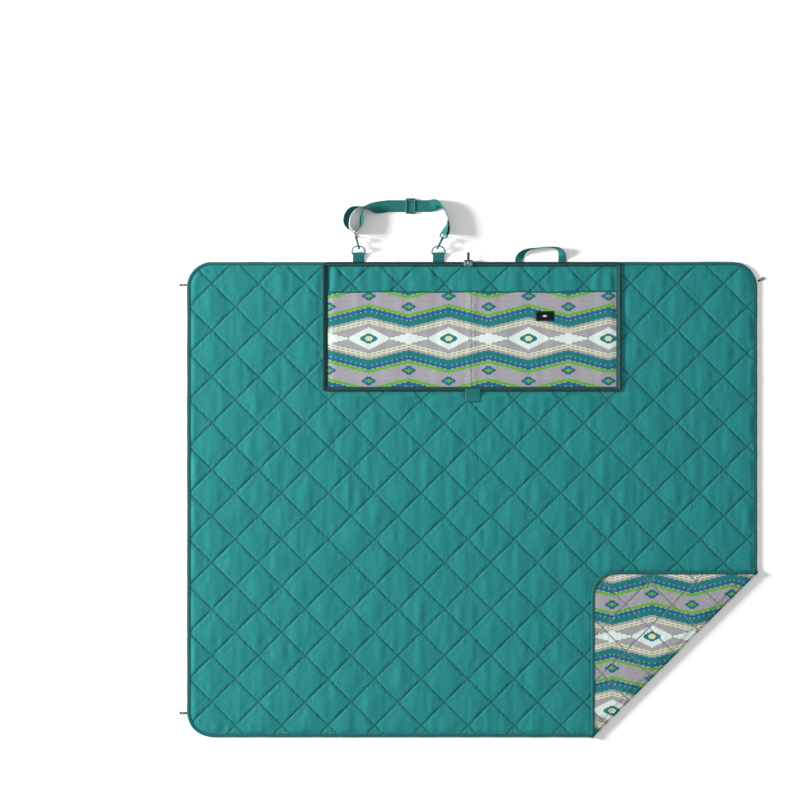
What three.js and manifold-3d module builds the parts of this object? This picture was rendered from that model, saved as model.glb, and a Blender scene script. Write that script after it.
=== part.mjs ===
// Quilted camp blanket that packs into its own zip-round bag, lying open with one corner turned over.
// Millimetres, +Z up. The origin is the middle of the blanket on the ground; +Y runs to the bag's edge.
import * as THREE from "three";
import { mergeVertices } from "three/addons/utils/BufferGeometryUtils.js";
import Module from "manifold-3d";

const wasm = await Module();
wasm.setup();

// ---- driving dimensions ----
const blanket = { width: 1829, depth: 1524, cornerRadius: 80, thickness: 8 };
const gap = 0.3; // between pieces that touch
const splitX = 3; // plane between the two halves, just past the fold's axis at x = 0
const fold = { offset: 1143, clearance: 4 }; // corner fold line x - y = offset
const shell = 1.2; // cloth shells and webbing plies
const bindingWidth = 11;

const bag = { halfWidth: 480, top: 762.5, bottom: 346, topRadius: 16, bottomRadius: 9 };
const coil = { inset: 0.7, width: 6, base: 10.2, height: 2.8 };
const tape = { insetOut: 7, insetRise: 12.5, base: 8.3, ply: 0.8, lift: 11.2 };
const tapeInner = { side: 18, top: 27, bottom: 16 };
const pocket = { top: 666, hem: 8 };
const label = { x: 233, y: 588, width: 59, height: 32 };
const endTab = { left: -22, right: 26, bottom: 313, top: 355 };

const tab = { xs: { left: -364, right: -107.5 }, width: 36, root: 735 };
const ringBar = { y: 788, z: 4.2 }; // axis that the D-rings and the strap lift about
const dRing = { inner: 37.4, wire: 4, reach: 23.5, rise: 19.8 };
const hook = { thickness: 7, innerRadius: 6, outerRadius: 10.5, shoulder: 16 };
const collar = { radius: 5, start: 24.5, end: 27.5 };
const hookOpening = { start: 3.2, end: 16.1, low: 5.5 };
const gate = { z: 8.3, start: 5.7, end: 13.4, radius: 2.1, thickness: 5 };
const pin = { headRadius: 4, headStart: 18, headEnd: 19.8, radius: 2, end: 27.9, bore: 2.3 };
const hookYaw = { left: 15, right: -26 }; // degrees about +Z from +Y
const eyeRoll = { left: 90, right: 60 }; // degrees of the eye's width from level
const eye = { inner: 39.5, outer: 47.5, thickness: 4, base: 29.5, slotStart: 33, slotEnd: 43, end: 46.2 };
const strapWidth = 38;
const glide = { x: -197, y: 941, length: 31, outer: 50, inner: 40, low: 0.3, top: 7.2 };
const glideBars = { end: { width: 4.5, low: 4.8 }, middle: { half: 2.2, top: 2.8 } };
const tail = { start: -54, end: -2.6, low: 1.8, high: 2.9 }; // along the glide, under its middle bar

const slider = { left: -26, right: 2 };
const handle = { width: 25, thickness: 2.4, left: 150.5, right: 289.5, root: 722 };
const stake = { length: 24, width: 11, cord: 2.5, thickness: 2.5 };

const halfW = blanket.width / 2;
const halfD = blanket.depth / 2;
const top = blanket.thickness;

// ---- materials ----
const finish = (color, roughness, metalness = 0) =>
  new THREE.MeshStandardMaterial({ color, roughness, metalness });
const tealCloth = finish(0x247f80, 0.8);
const printCloth = finish(0xa5a5aa, 0.85);
const wadding = finish(0xe8e6df, 1);
const bindingCloth = finish(0x205453, 0.8);
const webbing = finish(0x20736f, 0.75);
const tapeCloth = finish(0x1b5a58, 0.8);
const coilNylon = finish(0x0c2625, 0.5);
const blackCord = finish(0x0e2827, 0.8);
const labelCloth = finish(0x101c1a, 0.7);
const tealPlastic = finish(0x1f6a67, 0.4);
const sliderMetal = finish(0x4a5a5a, 0.35, 0.8);

const group = new THREE.Group();

// Names a geometry as one piece of the object, in the given group.
function piece(name, material, geometry, parent = group) {
  const mesh = new THREE.Mesh(geometry, material);
  mesh.name = name;
  parent.add(mesh);
  return mesh;
}

// ---- solids ----
// A closed geometry as a manifold solid.
function toSolid(geometry) {
  const plain = geometry.index ? geometry.toNonIndexed() : geometry.clone();
  plain.deleteAttribute("normal");
  plain.deleteAttribute("uv");
  const merged = mergeVertices(plain, 1e-4);
  const mesh = new wasm.Mesh({
    numProp: 3,
    vertProperties: merged.attributes.position.array,
    triVerts: new Uint32Array(merged.index.array),
  });
  return new wasm.Manifold(mesh);
}

// A manifold solid as a geometry.
function toGeometry(solid) {
  const mesh = solid.getMesh();
  const geometry = new THREE.BufferGeometry();
  geometry.setAttribute("position", new THREE.BufferAttribute(new Float32Array(mesh.vertProperties), 3));
  geometry.setIndex(new THREE.BufferAttribute(new Uint32Array(mesh.triVerts), 1));
  geometry.computeVertexNormals();
  return geometry;
}

const cut = (geometry, ...tools) =>
  toGeometry(tools.reduce((solid, tool) => solid.subtract(toSolid(tool)), toSolid(geometry)));
const join = (geometry, ...others) =>
  toGeometry(others.reduce((solid, other) => solid.add(toSolid(other)), toSolid(geometry)));
const common = (geometry, ...others) =>
  toGeometry(others.reduce((solid, other) => solid.intersect(toSolid(other)), toSolid(geometry)));

// A box between two corners.
function box(low, high) {
  const size = high.map((value, i) => value - low[i]);
  const centre = high.map((value, i) => (value + low[i]) / 2);
  return new THREE.BoxGeometry(...size).translate(...centre);
}

// A flat shape given a thickness from z0 to z1.
function plate(shape, z0, z1, curveSegments = 8) {
  const options = { depth: z1 - z0, bevelEnabled: false, curveSegments };
  return new THREE.ExtrudeGeometry(shape, options).translate(0, 0, z0);
}

// A rectangle with one corner radius along its top and another along its bottom.
function roundedRectangle(x0, x1, y0, y1, topRadius, bottomRadius = topRadius) {
  const shape = new THREE.Shape();
  shape.moveTo(x0 + bottomRadius, y0);
  shape.lineTo(x1 - bottomRadius, y0);
  shape.absarc(x1 - bottomRadius, y0 + bottomRadius, bottomRadius, -Math.PI / 2, 0);
  shape.lineTo(x1, y1 - topRadius);
  shape.absarc(x1 - topRadius, y1 - topRadius, topRadius, 0, Math.PI / 2);
  shape.lineTo(x0 + topRadius, y1);
  shape.absarc(x0 + topRadius, y1 - topRadius, topRadius, Math.PI / 2, Math.PI);
  shape.lineTo(x0, y0 + bottomRadius);
  shape.absarc(x0 + bottomRadius, y0 + bottomRadius, bottomRadius, Math.PI, Math.PI * 1.5);
  return shape;
}

// A rounded bar or slot of two half circles joined by straight sides, along Y.
function stadium(x, y0, y1, radius) {
  const shape = new THREE.Shape();
  shape.absarc(x, y1, radius, 0, Math.PI);
  shape.absarc(x, y0, radius, Math.PI, Math.PI * 2);
  shape.closePath();
  return shape;
}

// A flat band of webbing: a rectangle carried along waypoints [x, y, z, width direction x, y, z].
function ribbon(waypoints, width, thickness, stepsPerSpan = 3) {
  const route = new THREE.CatmullRomCurve3(waypoints.map((p) => new THREE.Vector3(p[0], p[1], p[2])));
  const across = new THREE.CatmullRomCurve3(waypoints.map((p) => new THREE.Vector3(p[3], p[4], p[5])));
  const steps = (waypoints.length - 1) * stepsPerSpan;
  const positions = [];
  const faces = [];
  for (let i = 0; i <= steps; i += 1) {
    const centre = route.getPoint(i / steps);
    const tangent = route.getTangent(i / steps);
    const side = across.getPoint(i / steps);
    side.addScaledVector(tangent, -side.dot(tangent)).setLength(width / 2);
    const up = new THREE.Vector3().crossVectors(tangent, side).setLength(thickness / 2);
    for (const [s, u] of [[-1, -1], [1, -1], [1, 1], [-1, 1]]) {
      const corner = centre.clone().addScaledVector(side, s).addScaledVector(up, u);
      positions.push(corner.x, corner.y, corner.z);
    }
  }
  for (let i = 0; i < steps; i += 1) {
    for (let k = 0; k < 4; k += 1) {
      const [a, b] = [i * 4 + k, i * 4 + ((k + 1) % 4)];
      faces.push(a, b, b + 4, a, b + 4, a + 4);
    }
  }
  const last = steps * 4;
  faces.push(0, 2, 1, 0, 3, 2, last, last + 1, last + 2, last, last + 2, last + 3);
  const geometry = new THREE.BufferGeometry();
  geometry.setAttribute("position", new THREE.Float32BufferAttribute(positions, 3));
  geometry.setIndex(faces);
  return geometry;
}

// ---- the blanket's layers, cut into left half, right half and turned corner ----
const far = 2000;
const foldDirection = new THREE.Vector3(1, 1, 0).normalize();
const foldPoint = new THREE.Vector3(fold.offset / 2, -fold.offset / 2, top + fold.clearance / 2);

// A big block on the corner's side of the fold line (or the other side), gap short of it.
function foldBlock(side) {
  const block = box([-far, 0, -far], [far, far, far]).rotateZ(side > 0 ? -Math.PI * 0.75 : Math.PI / 4);
  const outward = new THREE.Vector3(1, -1, 0).normalize().multiplyScalar(side * gap);
  return block.translate(foldPoint.x + outward.x, foldPoint.y + outward.y, 0);
}

const regions = {
  left: [box([-far, -far, -far], [splitX, far, far])],
  right: [box([splitX + 2 * gap, -far, -far], [far, far, far]), foldBlock(-1)],
  flap: [foldBlock(1)],
};

// One layer of the whole blanket, inset from its edge.
const layer = (inset, z0, z1) =>
  plate(
    roundedRectangle(
      -halfW + inset,
      halfW - inset,
      -halfD + inset,
      halfD - inset,
      blanket.cornerRadius - inset,
    ),
    z0,
    z1,
  );

// Recesses in the underside for the webbing ends that are sewn there.
const recess = (x, width, root) =>
  box([x - width / 2 - gap, root - gap, -1], [x + width / 2 + gap, halfD + 1, shell + gap]);
const recesses = {
  left: Object.values(tab.xs).map((x) => recess(x, tab.width, tab.root)),
  right: [handle.left, handle.right].map((x) => recess(x, handle.width, handle.root)),
  flap: [],
};

// The turned corner leaves the right half's binding in two strips.
const bindingParts = {
  left: [["edge"]],
  right: [
    ["edge", box([-far, -halfD / 2, -far], [far, far, far])],
    ["bottom", box([-far, -far, -far], [far, -halfD / 2, far])],
  ],
  flap: [["edge"]],
};

// The corner is made lying flat in its place, then its group turns it over about the fold line.
const turned = new THREE.Group();
const turn = new THREE.Quaternion().setFromAxisAngle(foldDirection, -Math.PI);
turned.quaternion.copy(turn);
turned.position.copy(foldPoint).sub(foldPoint.clone().applyQuaternion(turn));
group.add(turned);

for (const [name, region] of Object.entries(regions)) {
  const parent = name === "flap" ? turned : group;
  const inner = bindingWidth + gap;
  const face = layer(inner, top - shell, top);
  const batting = layer(inner, shell + gap, top - shell - gap);
  const print = layer(inner, 0, shell);
  const binding = cut(layer(0, 0, top), layer(bindingWidth, -1, top + 1));
  piece(`${name}_face_shell`, tealCloth, common(face, ...region), parent);
  piece(`${name}_batting`, wadding, common(batting, ...region), parent);
  piece(`${name}_print_shell`, printCloth, cut(common(print, ...region), ...recesses[name]), parent);
  for (const [edge, ...part] of bindingParts[name]) {
    const strip = common(binding, ...region, ...part);
    piece(`${name}_${edge}_binding`, bindingCloth, cut(strip, ...recesses[name]), parent);
  }
}

// ---- zip-round bag on the blanket's face ----
// The bag's outline, inset by its own amount on each side.
const bagOutline = (side, above = side, below = side) =>
  roundedRectangle(
    -bag.halfWidth + side,
    bag.halfWidth - side,
    bag.bottom + below,
    bag.top - above,
    Math.max(bag.topRadius - side, 1),
    Math.max(bag.bottomRadius - side, 1),
  );
// A band round the bag between two outlines.
const bagBand = (outer, inner, z0, z1) => cut(plate(outer, z0, z1, 4), plate(inner, z0 - 1, z1 + 1, 4));

const bandCoil = bagBand(
  bagOutline(coil.inset),
  bagOutline(coil.inset + coil.width),
  coil.base,
  coil.base + coil.height,
);
// The tape is sewn down flat, then steps up to hold the coil clear for the slider.
const bandTape = join(
  bagBand(
    bagOutline(tape.insetRise),
    bagOutline(tapeInner.side, tapeInner.top, tapeInner.bottom),
    tape.base,
    tape.base + tape.ply,
  ),
  bagBand(bagOutline(tape.insetRise), bagOutline(tape.insetRise + 1), tape.base, tape.lift + tape.ply),
  bagBand(bagOutline(tape.insetOut), bagOutline(tape.insetRise + 1), tape.lift, tape.lift + tape.ply),
);

for (const [name, sign] of [["left", -1], ["right", 1]]) {
  const region = name === "left" ? regions.left : [regions.right[0]];
  const inside = bag.halfWidth - tapeInner.side - gap;
  const near = name === "left" ? splitX : splitX + 2 * gap;
  const [x0, x1] = sign < 0 ? [-inside, near] : [near, inside];
  const [y0, y1] = [bag.bottom + tapeInner.bottom + gap, pocket.top];
  const panelTop = tape.base + tape.ply;
  piece(`${name}_zip_coil`, coilNylon, common(bandCoil, ...region));
  piece(`${name}_zip_tape`, tapeCloth, common(bandTape, ...region));
  piece(`${name}_pocket_panel`, printCloth, box([x0, y0, tape.base], [x1, y1, panelTop]));
  piece(
    `${name}_pocket_hem`,
    bindingCloth,
    box([x0, y1 - pocket.hem, panelTop + gap], [x1, y1, panelTop + gap + tape.ply]),
  );
  // The end tab lies on the blanket, climbs the coil and covers the zip's end.
  const [t0, t1] = sign < 0 ? [endTab.left, near] : [near, endTab.right];
  const overCoil = coil.base + coil.height + gap;
  piece(
    `${name}_zip_end_tab`,
    webbing,
    join(
      box([t0, endTab.bottom, top + gap], [t1, bag.bottom - gap, top + gap + shell]),
      box([t0, bag.bottom - gap - shell, top + gap], [t1, bag.bottom - gap, overCoil + shell]),
      box([t0, bag.bottom - gap - shell, overCoil], [t1, endTab.top, overCoil + shell]),
    ),
  );
}

const labelBase = tape.base + tape.ply + gap;
piece(
  "woven_label",
  labelCloth,
  box(
    [label.x - label.width / 2, label.y - label.height / 2, labelBase],
    [label.x + label.width / 2, label.y + label.height / 2, labelBase + tape.ply],
  ),
);

// ---- zip slider and pull, on the left coil's straight top run ----
const coilTop = coil.base + coil.height;
const sliderTop = coilTop + 2.2;
const sliderOuter = bag.top + 5.5;
const crownX = (slider.left + slider.right) / 2;
const crown = { low: bag.top - 12, high: bag.top + 3, leg: 2, width: 5, height: 4.4, tunnel: 2.8 };
const pullAxis = { y: (crown.low + crown.high) / 2, z: sliderTop + 1.3 };

piece(
  "zip_slider",
  sliderMetal,
  join(
    box([slider.left, bag.top - 15.5, coilTop + 0.4], [slider.right, sliderOuter, sliderTop]),
    box([slider.left, bag.top - 11, top + 0.5], [slider.right, sliderOuter, coil.base - gap]),
    box([slider.left, bag.top + 0.9, top + 0.5], [slider.right, sliderOuter, sliderTop]),
    cut(
      box(
        [crownX - crown.width / 2, crown.low, sliderTop - 0.2],
        [crownX + crown.width / 2, crown.high, sliderTop + crown.height],
      ),
      box(
        [crownX - crown.width, crown.low + crown.leg, sliderTop],
        [crownX + crown.width, crown.high - crown.leg, sliderTop + crown.tunnel],
      ),
    ),
  ),
);

const pull = { end: 34, halfWidth: 4.5, eyeHalf: 3.2, eyeStart: 1, eyeEnd: 9.5, thickness: 1.6 };
const pullPlate = roundedRectangle(
  crownX - pull.halfWidth,
  crownX + pull.halfWidth,
  pullAxis.y - 1,
  pullAxis.y + pull.end,
  4,
  0.5,
);
pullPlate.holes.push(
  roundedRectangle(
    crownX - pull.eyeHalf,
    crownX + pull.eyeHalf,
    pullAxis.y + pull.eyeStart,
    pullAxis.y + pull.eyeEnd,
    0.4,
  ),
);
piece(
  "zip_pull",
  blackCord,
  plate(pullPlate, pullAxis.z - pull.thickness / 2, pullAxis.z + pull.thickness / 2, 4),
);

// ---- webbing tabs, D-rings, snap hooks and swivel eyes, one set at each end of the strap ----
// The tab's side view: one ply sewn under the edge, a loop round the D-ring's bar, and back.
function tabLoop(x) {
  const radius = ringBar.z;
  const seam = halfD + 0.6;
  const side = new THREE.Shape();
  side.moveTo(tab.root, 0);
  side.lineTo(ringBar.y, 0);
  side.absarc(ringBar.y, ringBar.z, radius, -Math.PI / 2, Math.PI / 2);
  side.lineTo(ringBar.y - 4, 2 * radius);
  side.lineTo(seam + 5, 2 * shell + gap);
  side.lineTo(seam, 2 * shell + gap);
  side.lineTo(seam, shell);
  side.lineTo(tab.root, shell);
  side.closePath();
  const hole = new THREE.Path();
  hole.absarc(ringBar.y, ringBar.z, radius - shell, -Math.PI / 2, Math.PI / 2);
  hole.lineTo(ringBar.y - 3, 2 * radius - shell);
  hole.lineTo(seam + 12, shell + 0.6);
  hole.lineTo(seam + 12, shell);
  hole.closePath();
  side.holes.push(hole);
  // the shape's own axes are Y and Z, so a cyclic turn puts its extrusion along X
  const turnAxes = new THREE.Matrix4().set(0, 0, 1, 0, 1, 0, 0, 0, 0, 1, 0, 0, 0, 0, 0, 1);
  return plate(side, x - tab.width / 2, x + tab.width / 2, 12).applyMatrix4(turnAxes);
}

// The D-ring flat on its own plane, bar along X at y = 0, then tilted up to the hook.
function dRingBody(x) {
  const depth = Math.hypot(dRing.reach, dRing.rise);
  const outline = (grow) => {
    const half = dRing.inner / 2 + dRing.wire / 2 + grow;
    const shape = new THREE.Shape();
    shape.moveTo(-half, -grow);
    shape.lineTo(half, -grow);
    shape.lineTo(half, depth * 0.35);
    shape.absellipse(0, depth * 0.35, half, depth * 0.65 + grow, 0, Math.PI);
    shape.closePath();
    return shape;
  };
  const ring = outline(dRing.wire / 2);
  ring.holes.push(outline(-dRing.wire / 2));
  const tilt = Math.atan2(dRing.rise, dRing.reach);
  return plate(ring, -dRing.wire / 2, dRing.wire / 2, 10).rotateX(tilt).translate(x, ringBar.y, ringBar.z);
}

// A snap hook along +Y with its bowl's centre at the origin and its plane upright.
const upright = (geometry) => geometry.rotateY(-Math.PI / 2);
const rod = (radius, y0, y1) =>
  new THREE.CylinderGeometry(radius, radius, y1 - y0, 16).translate(0, (y0 + y1) / 2, 0);
function hookBody() {
  const ring = stadium(0, 0, hook.shoulder, hook.outerRadius);
  ring.holes.push(stadium(0, 0, hook.shoulder, hook.innerRadius));
  const body = upright(plate(ring, -hook.thickness / 2, hook.thickness / 2, 10));
  const beyond = hook.outerRadius + 1.5;
  const opening = box(
    [-hook.thickness, hookOpening.start, hookOpening.low],
    [hook.thickness, hookOpening.end, beyond],
  );
  const bore = rod(pin.bore, pin.headStart, collar.end + 1);
  return cut(join(body, rod(collar.radius, collar.start, collar.end)), opening, bore);
}
const gateBody = () =>
  upright(plate(stadium(gate.z, gate.start, gate.end, gate.radius), -gate.thickness / 2, gate.thickness / 2, 4));
const pinBody = () =>
  join(rod(pin.headRadius, pin.headStart, pin.headEnd), rod(pin.radius, pin.headStart + 0.9, pin.end));
function eyeBody() {
  const half = eye.outer / 2;
  const frame = roundedRectangle(-half, half, eye.base, eye.end, 4);
  const slot = eye.inner / 2;
  frame.holes.push(roundedRectangle(-slot, slot, eye.slotStart, eye.slotEnd, 1));
  const boss = rod(collar.radius, pin.end, eye.base + 1.4);
  return join(plate(frame, -eye.thickness / 2, eye.thickness / 2, 3), boss);
}

for (const side of ["left", "right"]) {
  const x = tab.xs[side];
  piece(`${side}_strap_tab`, webbing, tabLoop(x));
  piece(`${side}_d_ring`, tealPlastic, dRingBody(x));
  const set = new THREE.Group();
  set.position.set(x, ringBar.y + dRing.reach, ringBar.z + dRing.rise);
  set.rotation.z = THREE.MathUtils.degToRad(hookYaw[side]);
  group.add(set);
  piece(`${side}_snap_hook`, tealPlastic, hookBody(), set);
  piece(`${side}_hook_gate`, tealPlastic, gateBody(), set);
  piece(`${side}_swivel_pin`, sliderMetal, pinBody(), set);
  const roll = THREE.MathUtils.degToRad(eyeRoll[side]);
  piece(`${side}_swivel_eye`, tealPlastic, eyeBody().rotateY(-roll), set);
}

// ---- shoulder strap ----
// Seven waypoints round an eye's far bar, from its -N side through the slot to its +N side.
function eyeTurn(side) {
  const radius = 3.9;
  const roll = THREE.MathUtils.degToRad(eyeRoll[side]);
  const yaw = new THREE.Quaternion().setFromAxisAngle(
    new THREE.Vector3(0, 0, 1),
    THREE.MathUtils.degToRad(hookYaw[side]),
  );
  const along = new THREE.Vector3(0, 1, 0).applyQuaternion(yaw);
  const across = new THREE.Vector3(Math.cos(roll), 0, Math.sin(roll)).applyQuaternion(yaw);
  const normal = new THREE.Vector3().crossVectors(along, across);
  const centre = new THREE.Vector3(tab.xs[side], ringBar.y + dRing.reach, ringBar.z + dRing.rise);
  centre.addScaledVector(along, eye.end - 1);
  const widthSign = side === "left" ? -1 : 1;
  return Array.from({ length: 7 }, (_, k) => {
    const angle = (Math.PI * k) / 6;
    const point = centre.clone();
    point.addScaledVector(normal, -radius * Math.cos(angle));
    point.addScaledVector(along, -radius * Math.sin(angle));
    return [...point.toArray(), ...across.clone().multiplyScalar(widthSign).toArray()];
  });
}

const bandZ = 3.8; // centre of the flat stretch that runs through the tri-glide
const strapRoute = [
  [-79.5, 896, 19.6, 0, 0, 1], // sewn end, beside the right leg
  [-80, 882, 20.4, 0.1, -0.05, 1],
  [-86, 866, 22.6, 0.3, -0.15, 0.9],
  ...eyeTurn("right"),
  [-78.5, 866, 20.8, 0.3, -0.15, 0.9],
  [-75, 880, 19.8, 0.1, -0.05, 1],
  [-75.5, 894, 19.4, 0, 0, 1],
  [-83, 916, 19.4, 0, 0, 1],
  [-94, 935, 19.4, 0, 0.1, 1],
  [-110, 946, 14.6, 0, 0.7, 0.7],
  [-128, 943, 5.4, 0, 1, 0.12],
  [-140, glide.y, bandZ, 0, 1, 0],
  [-150, glide.y, bandZ, 0, 1, 0],
  [glide.x, glide.y, bandZ, 0, 1, 0],
  [-245, glide.y, bandZ, 0, 1, 0],
  [-258, glide.y, bandZ, 0, 1, 0],
  [-268, glide.y, bandZ, 0, 1, 0],
  [-290, 938.5, 4.8, 0, 1, -0.06],
  [-316, 936, 12, 0, 0.86, -0.5],
  [-340, 938, 19, 0, 0.25, -0.97],
  [-363, 938, 19.6, 0.1, 0, -0.99],
  [-385, 930, 18.6, 0.38, -0.16, -0.91],
  [-399, 912, 17.6, 0.5, 0, -0.87],
  [-403.5, 886, 18.4, 0.42, 0, -0.91],
  [-396, 867, 21, 0.18, 0, -0.98],
  [-384.5, 860, 23.4, 0, 0, -1],
  ...eyeTurn("left"),
  [-366, 863, 23, 0, 0, -1],
  [-357, 875, 20.4, -0.2, 0, -0.98],
  [-353.5, 895, 19, -0.34, 0, -0.94],
  [-352, 915, 19.2, -0.22, 0, -0.98],
  [-345, 930.5, 19.4, 0, 0.1, -1],
  [-331, 934, 16.4, 0, 0.5, -0.86],
  [-312, 934, 9.6, 0, 0.9, -0.44],
  [-290, 937.5, 2.4, 0, 1, -0.06],
  [-268, glide.y, 0.9, 0, 1, 0],
  [-258, glide.y, 0.9, 0, 1, 0],
  [-250, glide.y, 0.9, 0, 1, 0], // return ply's end, under the tail
];
piece("strap_webbing", webbing, ribbon(strapRoute, strapWidth, shell));

// The tri-glide: low middle bar, high end bars, and cheeks outside the webbing.
const glideX = (a, b, y0, y1, z0, z1) =>
  box([glide.x + a, glide.y + y0, z0], [glide.x + b, glide.y + y1, z1]);
const cheek = glide.inner / 2;
const glideHalf = glide.length / 2;
const glideEdge = glide.outer / 2;
const { end: endBar, middle: middleBar } = glideBars;
piece(
  "tri_glide",
  tealPlastic,
  join(
    glideX(-glideHalf, glideHalf, cheek, glideEdge, glide.low, glide.top),
    glideX(-glideHalf, glideHalf, -glideEdge, -cheek, glide.low, glide.top),
    glideX(-middleBar.half, middleBar.half, -glideEdge, glideEdge, glide.low, middleBar.top),
    glideX(-glideHalf, -glideHalf + endBar.width, -glideEdge, glideEdge, endBar.low, glide.top),
    glideX(glideHalf - endBar.width, glideHalf, -glideEdge, glideEdge, endBar.low, glide.top),
  ),
);
const strapHalf = strapWidth / 2;
piece("strap_tail", webbing, glideX(tail.start, tail.end, -strapHalf, strapHalf, tail.low, tail.high));

// ---- grab handle on the right half ----
const handleRoute = [
  [handle.left, halfD + 1.8, 1.5, -1, 0, 0],
  [handle.left, halfD + 5, 1.5, -1, 0, 0],
  [handle.left + 1.5, 774, 3, -0.98, 0.1, 0.1],
  [handle.left + 9, 787, 8.6, -0.7, 0.35, 0.6],
  [handle.left + 24, 798, 13.2, -0.2, 0.3, 0.93],
  [handle.left + 58, 805.5, 14, 0, 0, 1],
  [handle.left + 100, 808.6, 14, 0, 0, 1],
  [handle.right - 12, 803, 13.6, 0.3, 0.2, 0.93],
  [handle.right - 2, 789, 9.2, 0.75, 0.2, 0.6],
  [handle.right, 775, 3.2, 0.98, 0.05, 0.12],
  [handle.right, halfD + 5, 1.5, 1, 0, 0],
  [handle.right, halfD + 1.8, 1.5, 1, 0, 0],
];
piece("grab_handle", webbing, ribbon(handleRoute, handle.width, handle.thickness, 4));
for (const [name, x] of [["left", handle.left], ["right", handle.right]]) {
  const half = handle.width / 2;
  piece(
    `handle_anchor_${name}`,
    webbing,
    box([x - half, handle.root, 0], [x + half, halfD + 1, shell]),
  );
}

// ---- stake loops at the corners ----
// A flat cord loop from its sewn root at the origin out along +X.
function stakeLoop() {
  const radius = stake.width / 2;
  const loop = stadium(0, radius, stake.length - radius, radius);
  const inside = radius - stake.cord;
  loop.holes.push(stadium(0, radius, stake.length - radius, inside));
  const half = stake.thickness / 2;
  return plate(loop, -half, half, 5).rotateZ(-Math.PI / 2);
}
const stakeLoops = [
  ["stake_loop_left_top", -halfW - 0.4, 688, 180, group],
  ["stake_loop_left_bottom", -halfW - 0.4, -685, 180, group],
  ["stake_loop_right_top", halfW + 2.9, 700, 28, group],
  // sewn to the turned corner, and tucked in over the cloth face when the corner lies flat
  ["stake_loop_corner", halfW - 1, -685, 180, turned],
];
for (const [name, x, y, degrees, parent] of stakeLoops) {
  const z = parent === turned ? top + fold.clearance / 2 : 1.5;
  const loop = stakeLoop().rotateZ(THREE.MathUtils.degToRad(degrees)).translate(x, y, z);
  piece(name, blackCord, loop, parent);
}

export default group;
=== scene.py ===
"""The looks of a quilted camp blanket with a zip-round bag, lying open with one corner turned over."""
import math

import bmesh
import bpy
import numpy as np
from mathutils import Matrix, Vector


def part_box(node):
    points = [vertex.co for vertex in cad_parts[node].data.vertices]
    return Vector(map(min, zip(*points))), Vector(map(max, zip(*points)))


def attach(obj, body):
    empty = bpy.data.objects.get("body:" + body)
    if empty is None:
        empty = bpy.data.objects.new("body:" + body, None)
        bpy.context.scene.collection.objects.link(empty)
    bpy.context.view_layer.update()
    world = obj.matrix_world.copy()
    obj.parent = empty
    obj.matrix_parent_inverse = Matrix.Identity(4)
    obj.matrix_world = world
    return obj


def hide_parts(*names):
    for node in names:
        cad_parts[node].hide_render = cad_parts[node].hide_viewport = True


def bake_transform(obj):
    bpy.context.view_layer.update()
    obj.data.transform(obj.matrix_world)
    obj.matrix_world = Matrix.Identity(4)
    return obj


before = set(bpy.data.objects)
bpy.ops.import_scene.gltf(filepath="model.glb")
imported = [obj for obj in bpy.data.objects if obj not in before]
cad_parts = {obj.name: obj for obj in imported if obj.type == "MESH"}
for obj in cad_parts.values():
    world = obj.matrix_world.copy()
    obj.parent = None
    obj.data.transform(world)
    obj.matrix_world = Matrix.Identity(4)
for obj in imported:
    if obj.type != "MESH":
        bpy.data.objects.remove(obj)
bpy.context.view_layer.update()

MM = 0.001  # shapes are worked out in millimetres and stored in metres


# ---- studio ----
# A plain white table seen from straight above through a long lens, with one big soft light low on
# the left, so that it rakes across the quilting, and an even pale room round it.
def hex_colour(code):
    """An sRGB colour such as 2a8586 as linear red, green, blue and alpha."""
    parts = np.array([int(code[i : i + 2], 16) for i in (0, 2, 4)]) / 255
    linear = np.where(parts <= 0.04045, parts / 12.92, ((parts + 0.055) / 1.055) ** 2.4)
    return (*linear.tolist(), 1.0)


def add(tree, kind, sockets=None, **settings):
    """Adds a node from its sockets, as values or links, and its settings, and gives its first output."""
    node = tree.nodes.new(kind)
    for name, value in settings.items():
        setattr(node, name, value)
    for name, value in (sockets or {}).items():
        if isinstance(value, bpy.types.NodeSocket):
            tree.links.new(value, node.inputs[name])
        else:
            node.inputs[name].default_value = value
    return node.outputs[0]


def mix(tree, amount, under, over):
    """over painted on under by amount, each a colour or a colour link."""
    return add(tree, "ShaderNodeMix", {0: amount, 6: under, 7: over}, data_type="RGBA").node.outputs[2]


def new_material(name, roughness, **plain):
    """A material with its shader's plain sockets set, as (material, tree, shader)."""
    material = bpy.data.materials.new(name)
    material.use_nodes = True
    shader = material.node_tree.nodes["Principled BSDF"]
    shader.inputs["Roughness"].default_value = roughness
    for socket, value in plain.items():
        shader.inputs[socket.replace("_", " ")].default_value = value
    return material, material.node_tree, shader


def painted_table():
    """Matt white laminate: an even pale surface with a trace of texture."""
    material, tree, shader = new_material("matt_white_laminate", 0.75)
    grain = add(tree, "ShaderNodeTexNoise", {"Scale": 40.0, "Detail": 2.0})
    colour = mix(tree, grain, hex_colour("fbfbfa"), hex_colour("f5f5f4"))
    tree.links.new(colour, shader.inputs["Base Color"])
    return material


view_centre = Vector((-0.231, 0.319, 0.0))
view_width = 2.567  # what the picture spans at the table
camera_height = 9.0
camera = bpy.data.objects.new("camera", bpy.data.cameras.new("camera"))
camera.data.sensor_width = 36
camera.data.lens = 36 * camera_height / view_width
camera.data.clip_end = 50
camera.location = view_centre + Vector((0, 0, camera_height))
bpy.context.collection.objects.link(camera)
bpy.context.scene.camera = camera
bpy.context.scene.view_settings.view_transform = "Standard"

table_half = 12.0
table_mesh = bpy.data.meshes.new("table")
table_corners = [(-1, -1), (1, -1), (1, 1), (-1, 1)]
table_mesh.from_pydata([(x * table_half, y * table_half, 0) for x, y in table_corners], [], [(0, 1, 2, 3)])
table_mesh.materials.append(painted_table())
table = bpy.data.objects.new("table", table_mesh)
bpy.context.collection.objects.link(table)


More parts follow.
